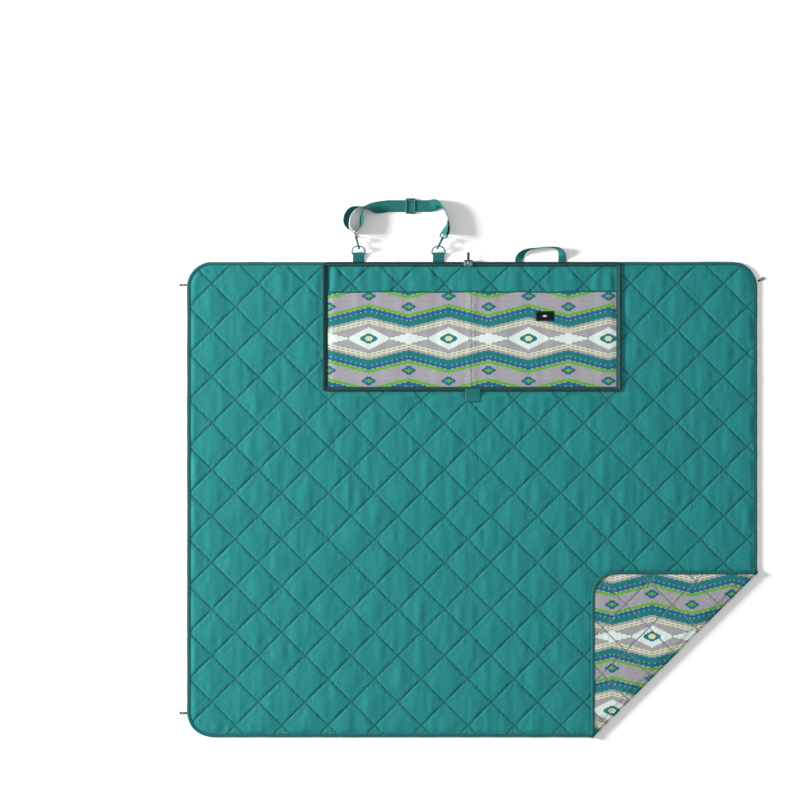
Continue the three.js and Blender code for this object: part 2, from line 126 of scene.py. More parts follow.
def soft_light(name, place, size, watts):
    """A square area light aimed at the blanket's middle."""
    lamp = bpy.data.lights.new(name, "AREA")
    lamp.size = size
    lamp.energy = watts
    light = bpy.data.objects.new(name, lamp)
    light.location = place
    light.rotation_euler = (-Vector(place)).to_track_quat("-Z", "Y").to_euler()
    bpy.context.collection.objects.link(light)


soft_light("key", (-8.0, 1.4, 2.9), 1.8, 1600)
soft_light("overhead", (1.6, 0.2, 6.0), 5.0, 90)
room = bpy.data.worlds.new("pale_room")
room.use_nodes = True
room.node_tree.nodes["Background"].inputs["Color"].default_value = (1, 1, 1, 1)
room.node_tree.nodes["Background"].inputs["Strength"].default_value = 0.42
bpy.context.scene.world = room


# ---- quilted cloths ----
# The blanket proper: a teal polyester face and a printed polyester underside over loose wadding,
# stitched through along two families of slanting lines, so that every diamond between them puffs.
left_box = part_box("left_edge_binding")
half_width = -left_box[0].x / MM
half_depth = -left_box[0].y / MM
corner_radius = 80.0
fold_offset = 1143.0  # the corner is turned over along x - y = this
fold_height = 10.0
stitch_pitch = 149.15  # between stitch lines, measured along the blanket's edges
cells_per_pitch = 28
cell = stitch_pitch / cells_per_pitch
rising_line = fold_offset - 221 * cell  # a stitch line is x - y = this, whole cells from the fold
falling_line = 8.0  # a stitch line is x + y = this
fold_clear = 17.0  # the stitch line this near the fold is lost in its turn
bag_half, bag_low, bag_high = 480.0, 346.0, 762.5
pocket_half, pocket_top = 462.0, 666.0
seam_height, puff_height = 5.6, 5.4  # the face at its stitch lines, and how far the puffs rise from them
sewn_height, zip_height = 6.3, 7.5  # the face under the edge binding, and under the zip and the pocket
spine_reach = 12.0  # the cloth bends over this much on each side of x = 0 when the bag is closed
spine_steps = np.arange(-spine_reach - 1, spine_reach + 1.1, 1.3)


def ease(low, high, value):
    """0 below low, 1 above high, and a smooth step between."""
    t = np.clip((value - low) / (high - low), 0, 1)
    return t * t * (3 - 2 * t)


def ripple(x, y, size_x, size_y, seed):
    """Smooth seeded noise from -1 to 1: random values on a lattice of that size, eased between."""
    lattice = np.random.default_rng(seed).uniform(-1, 1, (256, 256))
    i, j = np.floor(x / size_x), np.floor(y / size_y)
    u, v = ease(0, 1, x / size_x - i), ease(0, 1, y / size_y - j)
    i, j = i.astype(int) % 256, j.astype(int) % 256
    next_i, next_j = (i + 1) % 256, (j + 1) % 256
    low = lattice[i, j] * (1 - u) + lattice[next_i, j] * u
    high = lattice[i, next_j] * (1 - u) + lattice[next_i, next_j] * u
    return low * (1 - v) + high * v


def inset(x, y, x0=-half_width, x1=half_width, y0=-half_depth, y1=half_depth, radius=corner_radius):
    """How far a point is inside a rectangle with round corners, negative outside."""
    qx = np.abs(x - (x0 + x1) / 2) - (x1 - x0) / 2 + radius
    qy = np.abs(y - (y0 + y1) / 2) - (y1 - y0) / 2 + radius
    outside = np.hypot(np.maximum(qx, 0), np.maximum(qy, 0))
    return radius - outside - np.minimum(np.maximum(qx, qy), 0)


def puff(x, y):
    """The product of two sine waves, nought on the stitch lines, raised to a power for a full shoulder."""
    rising = np.abs(np.sin(np.pi * (x - y - rising_line) / stitch_pitch))
    falling = np.abs(np.sin(np.pi * (x + y - falling_line) / stitch_pitch))
    return (rising * falling) ** 0.48


def on_stitches(x, y):
    """Whether a place is on a stitch line."""
    return (puff(x, y) < 1e-3) & (np.abs(past_fold(x, y)) > fold_clear)


def past_fold(x, y):
    """The distance from the fold line, positive on the turned corner's side."""
    return (x - y - fold_offset) / math.sqrt(2)


def under_bag(x, y):
    """1 where the pocket and the zip lie flat on the face, fading to 0 round them."""
    depth = inset(x, y, -bag_half, bag_half, bag_low, bag_high, 16)
    band = ease(-20, -5, depth) * (1 - ease(20, 34, depth))
    pocket = ease(-20, -5, depth) * (1 - ease(pocket_top - 14, pocket_top + 6, y))
    return np.maximum(band, pocket)


def face_height(x, y):
    """The teal cloth: wrinkled puffs, lower under the turned corner and flat at the sewn edges."""
    full = puff(x, y)
    covered = ease(-20, 15, np.minimum(x - (fold_offset - half_depth), half_width - fold_offset - y))
    streaks = 1.5 * ripple(x, y, 21, 95, 3) + 0.6 * ripple(x, y, 12, 60, 4)
    height = (seam_height - 0.6 * covered) + (puff_height - 1.1 * covered) * full
    height += streaks * (1 - 0.75 * covered) * full + 0.35 * ripple(x, y, 70, 70, 5) * full
    edge = inset(x, y)
    height = sewn_height + (height - sewn_height) * ease(9, 24, edge)
    height += (zip_height - height) * under_bag(x, y) * ease(9, 24, edge)
    gathered = ease(-bag_half, 24 - bag_half, x) * ease(-bag_half, 24 - bag_half, -x)
    gathered *= ease(pocket_top - 4, pocket_top + 14, y) * ease(7, 15, edge)
    height += gathered * (1.3 * ripple(x, y, 19, 130, 7) + 0.4 * ripple(x, y, 10, 60, 8) - 0.6)
    near_fold = 1 - ease(0, 16, np.abs(past_fold(x, y)))
    return height + (fold_height - 1.2 * (1 - ease(10, 16, edge)) - height) * near_fold


def underside_height(x, y):
    """The printed cloth: the same puffs hanging down, flat where they rest and flat at the sewn edges."""
    full = puff(x, y) ** 0.8
    height = 3.4 - 3.1 * full + 0.25 * ripple(x, y, 60, 24, 6) * full
    edge = inset(x, y)
    height = 1.7 + (height - 1.7) * ease(9, 24, edge)
    height = np.maximum(height, 1.6 * ease(700, 722, y))
    near_fold = 1 - ease(0, 26, np.abs(past_fold(x, y)))
    return np.maximum(height + (5.0 - height) * near_fold, 0.2)


def grid_quads(rows, columns, wrap_rows=False, wrap_columns=False):
    """The four-cornered faces of a grid of points numbered row by row."""
    r, c = np.meshgrid(
        np.arange(rows if wrap_rows else rows - 1),
        np.arange(columns if wrap_columns else columns - 1),
        indexing="ij",
    )
    r2, c2 = (r + 1) % rows, (c + 1) % columns
    quads = [r * columns + c, r * columns + c2, r2 * columns + c2, r2 * columns + c]
    return np.stack(quads, axis=-1).reshape(-1, 4)


def new_piece(name, points, faces, material, lay=None, closed=False, creased=None):
    """A mesh object at the origin from points in millimetres.

    lay is kept as the cloth's own flat place, and edges between two creased points are shaded sharp.
    """
    points = np.asarray(points, float).reshape(-1, 3)
    mesh = bpy.data.meshes.new(name)
    mesh.from_pydata((points * MM).tolist(), [], [list(face) for face in faces])
    if lay is not None:
        attribute = mesh.attributes.new("lay", "FLOAT_VECTOR", "POINT")
        attribute.data.foreach_set("vector", np.asarray(lay, np.float32).reshape(-1, 3).ravel())
    mesh.materials.append(material)
    if closed:
        shell = bmesh.new()
        shell.from_mesh(mesh)
        bmesh.ops.recalc_face_normals(shell, faces=shell.faces)
        shell.to_mesh(mesh)
        shell.free()
    mesh.polygons.foreach_set("use_smooth", np.full(len(mesh.polygons), True))
    if creased is not None:
        ends = np.zeros(2 * len(mesh.edges), np.int32)
        mesh.edges.foreach_get("vertices", ends)
        sharp = mesh.attributes.new("sharp_edge", "BOOLEAN", "EDGE")
        sharp.data.foreach_set("value", creased[ends].reshape(-1, 2).all(1))
    piece = bpy.data.objects.new(name, mesh)
    bpy.context.collection.objects.link(piece)
    return piece


def stations(low, high, step, origin):
    """Evenly spaced values on a lattice through origin, closer together across the spine."""
    even = np.arange(math.floor((low - origin) / step), math.ceil((high - origin) / step) + 1) * step + origin
    inside = (spine_steps > low) & (spine_steps < high)
    clear = (even < spine_steps[0]) | (even > spine_steps[-1])
    values = np.sort(np.concatenate([even[clear], spine_steps[inside]]))
    return values if low < 0 < high else even


def lattice_triangles(step):
    """A grid over the whole blanket cut into triangles along the stitch lines and the fold line.

    A column or row is a whole number of steps from a crossing of two stitch lines, so the lines
    run through grid points, and each square is split along the stitch line that crosses it.
    """
    crossing_x = (rising_line + falling_line) / 2
    crossing_y = (falling_line - rising_line) / 2
    xs = stations(-half_width, half_width, step, crossing_x)
    ys = np.arange(
        math.floor((-half_depth - crossing_y) / step), math.ceil((half_depth - crossing_y) / step) + 1
    ) * step + crossing_y
    y, x = np.meshgrid(ys, xs, indexing="ij")
    a, b, c, d = grid_quads(len(ys), len(xs)).T
    x, y = x.ravel(), y.ravel()
    level = (x + y - falling_line) / stitch_pitch
    falls = (np.abs(level[b] - np.round(level[b])) < 1e-3) & (np.abs(level[d] - level[b]) < 1e-3)
    falls &= np.abs(past_fold(x, y))[a] > 0.5 * step
    first = np.where(falls[:, None], np.stack([a, b, d], 1), np.stack([a, b, c], 1))
    second = np.where(falls[:, None], np.stack([b, c, d], 1), np.stack([a, c, d], 1))
    return x, y, np.concatenate([first, second])


def cloth_part(step, turned, hem=4.0, short_of_fold=0.0):
    """The lattice of the main blanket or of its turned corner, cut clean at the hem, as (x, y, triangles)."""
    x, y, triangles = lattice_triangles(step)
    middle_x, middle_y = x[triangles].mean(1), y[triangles].mean(1)
    kept = past_fold(middle_x, middle_y) * (1 if turned else -1) > short_of_fold
    kept &= inset(middle_x, middle_y) > hem
    used, triangles = np.unique(triangles[kept], return_inverse=True)
    triangles = triangles.reshape(-1, 3)
    x, y = x[used], y[used]
    edges = np.sort(np.concatenate([triangles[:, [0, 1]], triangles[:, [1, 2]], triangles[:, [2, 0]]]), 1)
    edges, uses = np.unique(edges, axis=0, return_counts=True)
    rim = np.unique(edges[uses == 1])
    rim = rim[inset(x[rim], y[rim]) < hem + 1.5 * step]
    rim = rim[(np.abs(past_fold(x[rim], y[rim])) > 0.3 * step) | (inset(x[rim], y[rim]) < hem)]
    for _ in range(3):
        short = inset(x[rim], y[rim]) - hem
        slope_x = inset(x[rim] + 0.5, y[rim]) - inset(x[rim] - 0.5, y[rim])
        slope_y = inset(x[rim], y[rim] + 0.5) - inset(x[rim], y[rim] - 0.5)
        x[rim] -= short * slope_x
        y[rim] -= short * slope_y
    return x, y, triangles


def turn_over(points):
    """Points of the flat corner turned by half a turn about the fold line's axis."""
    x, y, z = np.asarray(points, float).reshape(-1, 3).T
    return np.stack([y + fold_offset, x - fold_offset, 2 * fold_height - z], 1)


def maths(tree, operation, *values):
    """A maths node on numbers."""
    return add(tree, "ShaderNodeMath", dict(enumerate(values)), operation=operation)


def vector_maths(tree, operation, *values):
    """A maths node on vectors, which gives a vector, or a number for a dot product."""
    result = add(tree, "ShaderNodeVectorMath", dict(enumerate(values)), operation=operation)
    return result.node.outputs["Value"] if operation == "DOT_PRODUCT" else result


def flat_place(tree):
    """The cloth's own flat place in millimetres, as a vector and as its two numbers."""
    lay = add(tree, "ShaderNodeAttribute", attribute_name="lay").node.outputs["Vector"]
    x, y, _ = add(tree, "ShaderNodeSeparateXYZ", {0: lay}).node.outputs
    return lay, x, y


def lay_distances(tree):
    """The cloth's flat place and its distances from both families of stitch lines, in millimetres."""
    lay, x, y = flat_place(tree)
    rising = maths(tree, "SUBTRACT", x, y)
    falling = maths(tree, "ADD", x, y)
    distances = []
    for line, offset in ((rising, rising_line), (falling, falling_line)):
        shifted = maths(tree, "SUBTRACT", line, offset)
        fold = maths(tree, "PINGPONG", shifted, stitch_pitch / 2)
        distances.append(maths(tree, "MULTIPLY", fold, math.sqrt(0.5)))
    return lay, rising, falling, distances


def stitch_marks(tree, colour, thread, seam_shade_colour):
    """Paints a stitched line on a quilted cloth: painted shade along the pinched seam, and short threads
    along its middle.
    """
    lay, rising, falling, (near_rising, near_falling) = lay_distances(tree)
    from_fold = maths(tree, "SUBTRACT", rising, fold_offset)
    from_fold = maths(tree, "ABSOLUTE", from_fold)
    lost = maths(tree, "LESS_THAN", from_fold, fold_clear * math.sqrt(2))
    near_rising = maths(tree, "MULTIPLY_ADD", lost, 100.0, near_rising)
    nearest = maths(tree, "MINIMUM", near_rising, near_falling)
    # painted shade: the cloth is darkened close to each stitch line, where its pinched seam lies in shade
    seam_shade_amount = add(
        tree,
        "ShaderNodeMapRange",
        {"Value": nearest, "From Min": 0.9, "From Max": 3.4, "To Min": 0.7, "To Max": 0.0},
        interpolation_type="SMOOTHSTEP",
    )
    colour = mix(tree, seam_shade_amount, colour, seam_shade_colour)
    for near, along in ((near_rising, falling), (near_falling, rising)):
        on_line = maths(tree, "LESS_THAN", near, 0.75)
        run = maths(tree, "PINGPONG", along, 3.4)
        raised = maths(tree, "GREATER_THAN", run, 1.2)
        stitch = maths(tree, "MULTIPLY", on_line, raised)
        colour = mix(tree, stitch, colour, thread)
    return lay, nearest, colour


def cloth_bump(tree, shader, lay, nearest, weave_depth):
    """Puckers that run into the stitch lines and fade away from them, over a fine plain weave."""
    gathers = add(tree, "ShaderNodeTexNoise", {"Vector": lay, "Scale": 0.085, "Detail": 3.0})
    fade = add(
        tree,
        "ShaderNodeMapRange",
        {"Value": nearest, "From Min": 1.0, "From Max": 22.0, "To Min": 1.0, "To Max": 0.12},
    )
    puckers = maths(tree, "MULTIPLY", gathers, fade)
    # threads are 0.3 mm apart on the real cloth, and are drawn 1.6 mm apart so that they show
    scaled = vector_maths(tree, "MULTIPLY", lay, (2 * math.pi / 1.6,) * 3)
    threads = vector_maths(tree, "SINE", scaled)
    weave = vector_maths(tree, "DOT_PRODUCT", threads, (1.0, 1.0, 0.0))
    soft = add(tree, "ShaderNodeBump", {"Height": puckers, "Distance": 4.0 * MM, "Strength": 0.9})
    fine = add(
        tree,
        "ShaderNodeBump",
        {"Height": weave, "Distance": weave_depth * MM, "Strength": 0.5, "Normal": soft},
    )
    tree.links.new(fine, shader.inputs["Normal"])


def teal_cloth():
    """Dyed plain-weave polyester: a deep teal with a soft sheen, its streaks partly painted highlight, and
    painted shade along the seams.
    """
    material, tree, shader = new_material("dyed_polyester_teal", 0.7, Specular_IOR_Level=0.25)
    lay, _, _ = flat_place(tree)
    # lighter and darker streaks up the cloth: partly tone variation in the dyed cloth, partly painted
    # highlight where the wrinkles catch the light
    stretched = vector_maths(tree, "MULTIPLY", lay, (0.03, 0.007, 0.0))
    streak = add(tree, "ShaderNodeTexNoise", {"Vector": stretched, "Scale": 1.0, "Detail": 3.0})
    colour = mix(tree, streak, hex_colour("076867"), hex_colour("187f7e"))
    # the last colour is the painted shade along the pinched seams
    _, nearest, colour = stitch_marks(tree, colour, hex_colour("075a58"), hex_colour("023a3b"))
    tree.links.new(colour, shader.inputs["Base Color"])
    cloth_bump(tree, shader, lay, nearest, 0.12)
    return material


def between(top, bottom, triangles):
    """A closed body from two surfaces on the same triangles, with a wall round their rim."""
    count = len(top)
    ends = np.concatenate([triangles[:, [0, 1]], triangles[:, [1, 2]], triangles[:, [2, 0]]])
    twins = np.isin(ends[:, 0] * count + ends[:, 1], ends[:, 1] * count + ends[:, 0])
    first, second = ends[~twins].T
    walls = np.concatenate(
        [np.stack([second, first, first + count], 1), np.stack([second, first + count, second + count], 1)]
    )
    return np.concatenate([top, bottom]), np.concatenate([triangles, triangles[:, ::-1] + count, walls])


def lay_of(x, y):
    """The cloth's flat place as a vector for its material."""
    return np.stack([x, y, np.zeros_like(x)], 1)


def spanning(piece, slot, *nodes):
    """Puts a finished piece in the place of CAD nodes on both halves, its place baked into its points."""
    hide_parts(*nodes)
    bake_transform(piece)


def fitted(piece, body, node):
    """Puts a finished piece in the place of one CAD node, on its body."""
    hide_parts(node)
    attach(piece, body)


face_teal = teal_cloth()
roll_low, roll_high = fold_height / 2, fold_height * 1.5  # the print cloth turns over between these heights
whole = (2 * half_width * MM, 2 * half_depth * MM)
corner_side = (half_width + half_depth - fold_offset) * MM
corner_area = corner_side**2 / 2 - (1 - math.pi / 4) * (corner_radius * MM) ** 2
main_area = whole[0] * whole[1] - corner_side**2 / 2 - 3 * (1 - math.pi / 4) * (corner_radius * MM) ** 2

main_x, main_y, main_triangles = cloth_part(cell, turned=False)
face = new_piece(
    "teal_face_cloth",
    np.stack([main_x, main_y, face_height(main_x, main_y)], 1),
    main_triangles,
    face_teal,
    lay_of(main_x, main_y),
    creased=on_stitches(main_x, main_y),
)
spanning(face, "teal_cloth", "left_face_shell", "right_face_shell")

corner_x, corner_y, corner_triangles = cloth_part(cell, turned=True)
corner_face = new_piece(
    "teal_corner_cloth",
    turn_over(np.stack([corner_x, corner_y, face_height(corner_x, corner_y)], 1)),
    corner_triangles,
    face_teal,
    lay_of(corner_x, corner_y),
    creased=on_stitches(corner_x, corner_y),
)
fitted(corner_face, "turned_corner", "flap_face_shell")


# ---- printed underside ----
# The same polyester printed in a generic woven-rug manner: plain zigzag stripes and lozenges with
# stepped edges, in teal, blue, green, cream and white on grey, in bands up and down the underside.
band_pitch = 238.0  # from the middle of one band to the next
motif_pitch = 256.0  # one lozenge to the next along a band, and half as much again in the next band
woven_step = (4.0, 4.0, 1.0)  # the stepped edges of the motifs
zigzag_slope = 0.25


def lozenges(tree, place, centre, half):
    """1 inside a lozenge: the distances from its centre, as shares of its half sizes, add up to under 1."""
    away = vector_maths(tree, "SUBTRACT", place, (*centre, 0.0))
    away = vector_maths(tree, "ABSOLUTE", away)
    share = (1 / half[0], 1 / half[1], 0.0)
    total = vector_maths(tree, "DOT_PRODUCT", away, share)
    return maths(tree, "LESS_THAN", total, 1.0)


def zigzag(tree, place, peak, half):
    """1 on a slanting stripe, which the fold at each motif turns into a zigzag that peaks at each motif."""
    lean = (zigzag_slope, 1.0, 0.0)
    height = vector_maths(tree, "DOT_PRODUCT", place, lean)
    return maths(tree, "COMPARE", height, peak, half)


def printed_pattern(tree, along, across):
    """The print's colour from a place along and across its bands, in millimetres from a motif's centre.

    The place is folded into one quarter of one motif, and the next band is shifted by half a motif.
    """
    half_motif = motif_pitch / 2
    band = maths(tree, "DIVIDE", across, band_pitch)
    band = maths(tree, "ROUND", band)
    shift = maths(tree, "MULTIPLY_ADD", band, half_motif, along)
    folded = maths(tree, "PINGPONG", shift, half_motif)
    up = maths(tree, "PINGPONG", across, band_pitch / 2)
    smooth = add(tree, "ShaderNodeCombineXYZ", {0: folded, 1: up})
    place = vector_maths(tree, "SNAP", smooth, woven_step)

    fibres = vector_maths(tree, "MULTIPLY", smooth, (0.02, 0.25, 0.0))
    heather = add(tree, "ShaderNodeTexNoise", {"Vector": fibres, "Scale": 1.0, "Detail": 3.0})
    colour = mix(tree, heather, hex_colour("828187"), hex_colour("a09da2"))
    white, cream = hex_colour("c8d4cf"), hex_colour("c0c6a4")
    teal, blue, green = hex_colour("126c6e"), hex_colour("165a7c"), hex_colour("5c9a2c")
    for peak, half, ink in ((48, 2, cream), (56, 2, cream), (76, 9, teal), (92, 5, blue), (104, 4, green)):
        colour = mix(tree, zigzag(tree, place, peak, half), colour, ink)
    for centre, half, ink in (
        ((0, 0), (half_motif / 2, 34), white),
        ((0, 0), (28, 15), teal),
        ((0, 0), (10, 7), cream),
        ((half_motif, 0), (half_motif / 2, 15), white),
        ((half_motif, 100), (26, 18), blue),
        ((half_motif, 100), (13, 9), green),
    ):
        colour = mix(tree, lozenges(tree, place, centre, half), colour, ink)
    return colour


def underside_cloth():
    """Printed plain-weave polyester: matt, with the print a little faded into the grey ground."""
    material, tree, shader = new_material("printed_polyester_quilted", 0.75, Specular_IOR_Level=0.2)
    lay, x, y = flat_place(tree)
    along = maths(tree, "ADD", y, 567.0)
    across = maths(tree, "SUBTRACT", x, 705.0)
    colour = printed_pattern(tree, along, across)
    # the last colour is the painted shade along the pinched seams
    _, nearest, colour = stitch_marks(tree, colour, hex_colour("2c5557"), hex_colour("6e7779"))
    tree.links.new(colour, shader.inputs["Base Color"])
    cloth_bump(tree, shader, lay, nearest, 0.12)
    return material


print_quilted = underside_cloth()
underside = new_piece(
    "printed_underside_cloth",
    np.stack([main_x, main_y, underside_height(main_x, main_y)], 1),
    main_triangles[:, ::-1],
    print_quilted,
    lay_of(main_x, main_y),
    creased=on_stitches(main_x, main_y),
)
spanning(underside, "print_cloth", "left_print_shell", "right_print_shell")

# the corner's print starts at the fold's underside, rolls round the fold's axis and lies on top
on_fold = np.flatnonzero(np.abs(past_fold(corner_x, corner_y)) < 0.3 * cell)
on_fold = on_fold[np.argsort(corner_x[on_fold])]
roll_turn = np.linspace(0, math.pi, 13)[:, None]
roll_out = roll_low * np.sin(roll_turn) * math.sqrt(0.5)
roll_points = np.stack(
    np.broadcast_arrays(
        corner_x[on_fold] + roll_out,
        corner_y[on_fold] - roll_out,
        fold_height - roll_low * np.cos(roll_turn),
    ),
    -1,
)
flat_corner = np.stack([corner_x, corner_y, underside_height(corner_x, corner_y)], 1)
corner_count = len(corner_x)
roll_number = np.concatenate([corner_count + np.arange(12 * len(on_fold)).reshape(12, -1), on_fold[None]])
roll_quads = roll_number.ravel()[grid_quads(13, len(on_fold))]
corner_print = new_piece(
    "printed_corner_cloth",
    np.concatenate([turn_over(flat_corner), roll_points[:12].reshape(-1, 3)]),
    corner_triangles[:, ::-1].tolist() + roll_quads[:, ::-1].tolist(),
    print_quilted,
    np.concatenate([lay_of(corner_x, corner_y), np.tile(lay_of(corner_x, corner_y)[on_fold], (12, 1))]),
    creased=np.concatenate([on_stitches(corner_x, corner_y), np.zeros(12 * len(on_fold), bool)]),
)
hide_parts("flap_print_shell")
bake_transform(corner_print)


# ---- wadding ----
# Loose polyester wadding fills the space between the two cloths and is caught in every stitch line.
# It can't be seen, so it is made coarser than the cloths, a cloth's thickness inside them.
def polyester_wadding():
    """Carded polyester fibre: white, fully matt, with a little depth to its tangle."""
    material, tree, shader = new_material("carded_polyester_wadding", 0.95)
    tangle = add(tree, "ShaderNodeTexNoise", {"Scale": 300.0, "Detail": 4.0})
    colour = mix(tree, tangle, hex_colour("dedbd2"), hex_colour("f2f0ea"))
    tree.links.new(colour, shader.inputs["Base Color"])
    bump = add(tree, "ShaderNodeBump", {"Height": tangle, "Distance": 1.0 * MM})
    tree.links.new(bump, shader.inputs["Normal"])
    return material


wadding_white = polyester_wadding()
cloth_thickness = 0.8
for turned, name in ((False, "quilt_wadding"), (True, "corner_wadding")):
    x, y, triangles = cloth_part(2 * cell, turned, hem=12.0, short_of_fold=8.0)
    middle = (face_height(x, y) + underside_height(x, y)) / 2
    half = (face_height(x, y) - underside_height(x, y)) / 2 - cloth_thickness
    half *= 0.45 * (0.15 + 0.85 * ease(spine_reach, 2 * spine_reach, np.abs(x)))
    top_side = np.stack([x, y, middle + half], 1)
    low_side = np.stack([x, y, middle - half], 1)
    points, faces = between(top_side, low_side, triangles)
    wadding = new_piece(name, turn_over(points) if turned else points, faces, wadding_white)
    if turned:
        fitted(wadding, "turned_corner", "flap_batting")
    else:
        spanning(wadding, "wadding", "left_batting", "right_batting")
for cloth, area, rest in (
    (face, main_area, "quilt_wadding"),
    (underside, main_area, "quilt_wadding"),
    (corner_face, corner_area, "corner_wadding"),
    (corner_print, corner_area, "corner_wadding"),
):
    flat = whole if area == main_area else (corner_side, corner_side)


# ---- edge binding ----
# A folded strip of darker teal twill wraps the raw edge all round and is sewn through once. It is
# one strip on the real blanket, and here it is parted where the corner turns over.
binding_width = 11.0
binding_profile = [  # inward from the edge, and up from its underside as a share of its height
    (11.0, 0.02), (8.0, 0.0), (4.0, 0.0), (1.6, 0.08), (0.4, 0.26), (0.0, 0.5), (0.4, 0.74),
    (1.6, 0.92), (4.0, 1.0), (7.4, 1.0), (8.0, 0.95), (8.6, 1.0), (10.6, 1.0), (11.0, 0.94),
    (11.0, 0.86), (4.0, 0.86), (1.4, 0.5), (4.0, 0.14), (11.0, 0.14),
]


def rounded(wave, power):
    """A sine or cosine wave squared off by raising it to a power below 1."""
    return np.sign(wave) * np.abs(wave) ** power


def unit(vectors):
    """Vectors scaled to a length of 1."""
    vectors = np.asarray(vectors, float)
    return vectors / np.linalg.norm(vectors, axis=-1, keepdims=True)


def left_of(heading):
    """The direction a quarter turn to the left of a flat heading."""
    heading = np.asarray(heading, float)
    return np.stack([-heading[..., 1], heading[..., 0]], -1)


def edge_walk(stops, radius, step):
    """Straight runs joined by quarter circles to the left, sampled about every step and closely at the spine.

    Gives the places, the directions to the left of the walk, and the length walked.
    """
    stops = np.asarray(stops, float)
    dense, headings = [stops[0]], [unit(stops[1] - stops[0])]
    for before, at, after in zip(stops, stops[1:], stops[2:]):
        heading = unit(at - before)
        turn = np.linspace(0, math.pi / 2, 19)[:, None]
        centre = at - radius * heading + radius * left_of(heading)
        dense.extend(centre - radius * left_of(heading) * np.cos(turn) + radius * heading * np.sin(turn))
        headings.extend(heading * np.cos(turn) + left_of(heading) * np.sin(turn))
    dense, headings = np.array([*dense, stops[-1]]), np.array([*headings, unit(stops[-1] - stops[-2])])
    walked = np.concatenate([[0], np.cumsum(np.linalg.norm(np.diff(dense, axis=0), axis=1))])
    at = np.linspace(0, walked[-1], int(walked[-1] / step) + 1)
    crossings = np.flatnonzero(dense[1:, 0] * dense[:-1, 0] < 0)
    for i in crossings:
        middle = walked[i] + abs(dense[i, 0])
        at = at[np.abs(at - middle) > spine_reach + 1]
        at = np.concatenate([at, middle + spine_steps])
    at = np.sort(at)
    places = np.stack([np.interp(at, walked, dense[:, k]) for k in (0, 1)], 1)
    heading = unit(np.stack([np.interp(at, walked, headings[:, k]) for k in (0, 1)], 1))
    return places, left_of(heading), at


def tube(sections, wrap=False):
    """Faces for a row of closed sections (n, m, 3), capped at both ends or joined into a ring."""
    count, around = sections.shape[:2]
    faces = grid_quads(count, around, wrap_rows=wrap, wrap_columns=True).tolist()
    if not wrap:
        last = (count - 1) * around
        faces += [list(range(around)), list(range(last, last + around))]
    return sections.reshape(-1, 3), faces


def bound_edge(stops, start_skew, end_skew):
    """The binding along part of the edge, its ends slanted to lie on the fold line."""
    places, inward, run = edge_walk(stops, corner_radius, 9.0)
    along = np.stack([inward[:, 1], -inward[:, 0]], 1)
    slant = start_skew * (1 - ease(0, 25, run)) + end_skew * (1 - ease(0, 25, run[-1] - run))
    profile = np.array(binding_profile)
    waver = 0.5 * ripple(run, run * 0, 34, 1, 9) * ease(0, 30, run) * ease(0, 30, run[-1] - run)
    flat = places[:, None] + inward[:, None] * (profile[None, :, :1] + waver[:, None, None])
    flat += along[:, None] * (profile[None, :, :1] * slant[:, None, None])
    sewn = places + (inward + along * slant[:, None]) * (binding_width + 1)
    top = np.minimum(face_height(*sewn.T) + 1.2, fold_height - 0.05)
    low = np.maximum(underside_height(*sewn.T) - 1.2, 1.45 * ease(690, 720, sewn[:, 1]))
    low = np.maximum(low, 0.4)
    height = low[:, None] + (top - low)[:, None] * profile[None, :, 1]
    sections = np.concatenate([flat, height[..., None]], 2)
    lay = np.broadcast_arrays(run[:, None], profile[None, :, 0], 0.0)
    points, faces = tube(sections)
    return points, faces, np.stack(lay, -1)


def sewn_cloth(name, dark, light, ribs, lines, thread, roughness=0.7, reach=0.8):
    """A narrow woven cloth: ribs across its length with painted shade between them, and rows of stitches at
    given distances across it.
    """
    material, tree, shader = new_material(name, roughness, Specular_IOR_Level=0.25)
    lay, run, side = flat_place(tree)
    worn = add(tree, "ShaderNodeTexNoise", {"Vector": lay, "Scale": 0.05, "Detail": 3.0})
    colour = mix(tree, worn, hex_colour(dark), hex_colour(light))
    phase = maths(tree, "MULTIPLY", run, 2 * math.pi / ribs)
    rib = maths(tree, "SINE", phase)
    half_rib = maths(tree, "MULTIPLY_ADD", rib, 0.5, 0.5)
    # painted shade: the cloth is darkened between the ribs, where they shade each other
    rib_valley_shade = maths(tree, "MULTIPLY_ADD", half_rib, 0.25, 0.75)
    colour = mix(tree, rib_valley_shade, hex_colour(dark), colour)
    height = half_rib
    for line in lines:
        away = maths(tree, "SUBTRACT", side, line)
        away = maths(tree, "ABSOLUTE", away)
        near = maths(tree, "LESS_THAN", away, reach)
        step = maths(tree, "PINGPONG", run, 1.7)
        raised = maths(tree, "GREATER_THAN", step, 0.5)
        stitch = maths(tree, "MULTIPLY", near, raised)
        colour = mix(tree, stitch, colour, hex_colour(thread))
        height = maths(tree, "MULTIPLY_ADD", stitch, 1.5, height)
    tree.links.new(colour, shader.inputs["Base Color"])
    bump = add(tree, "ShaderNodeBump", {"Height": height, "Distance": 0.25 * MM, "Strength": 0.6})
    tree.links.new(bump, shader.inputs["Normal"])
    return material


binding_twill = sewn_cloth("polyester_twill_binding", "064e4f", "0d6665", 1.4, [8.0], "053a3b")
fold_right = (half_width, half_width - fold_offset)
fold_bottom = (fold_offset - half_depth, -half_depth)
main_stops = [
    fold_right,
    (half_width, half_depth),
    (-half_width, half_depth),
    (-half_width, -half_depth),
    fold_bottom,
]
points, faces, lay = bound_edge(main_stops, start_skew=-1, end_skew=1)
edge_binding = new_piece("edge_binding", points, faces, binding_twill, lay, closed=True)
spanning(edge_binding, "binding", "left_edge_binding", "right_edge_binding", "right_bottom_binding")

points, faces, lay = bound_edge([fold_bottom, (half_width, -half_depth), fold_right], 1, -1)
corner_binding = new_piece("corner_edge_binding", turn_over(points), faces, binding_twill, lay, closed=True)
fitted(corner_binding, "turned_corner", "flap_edge_binding")

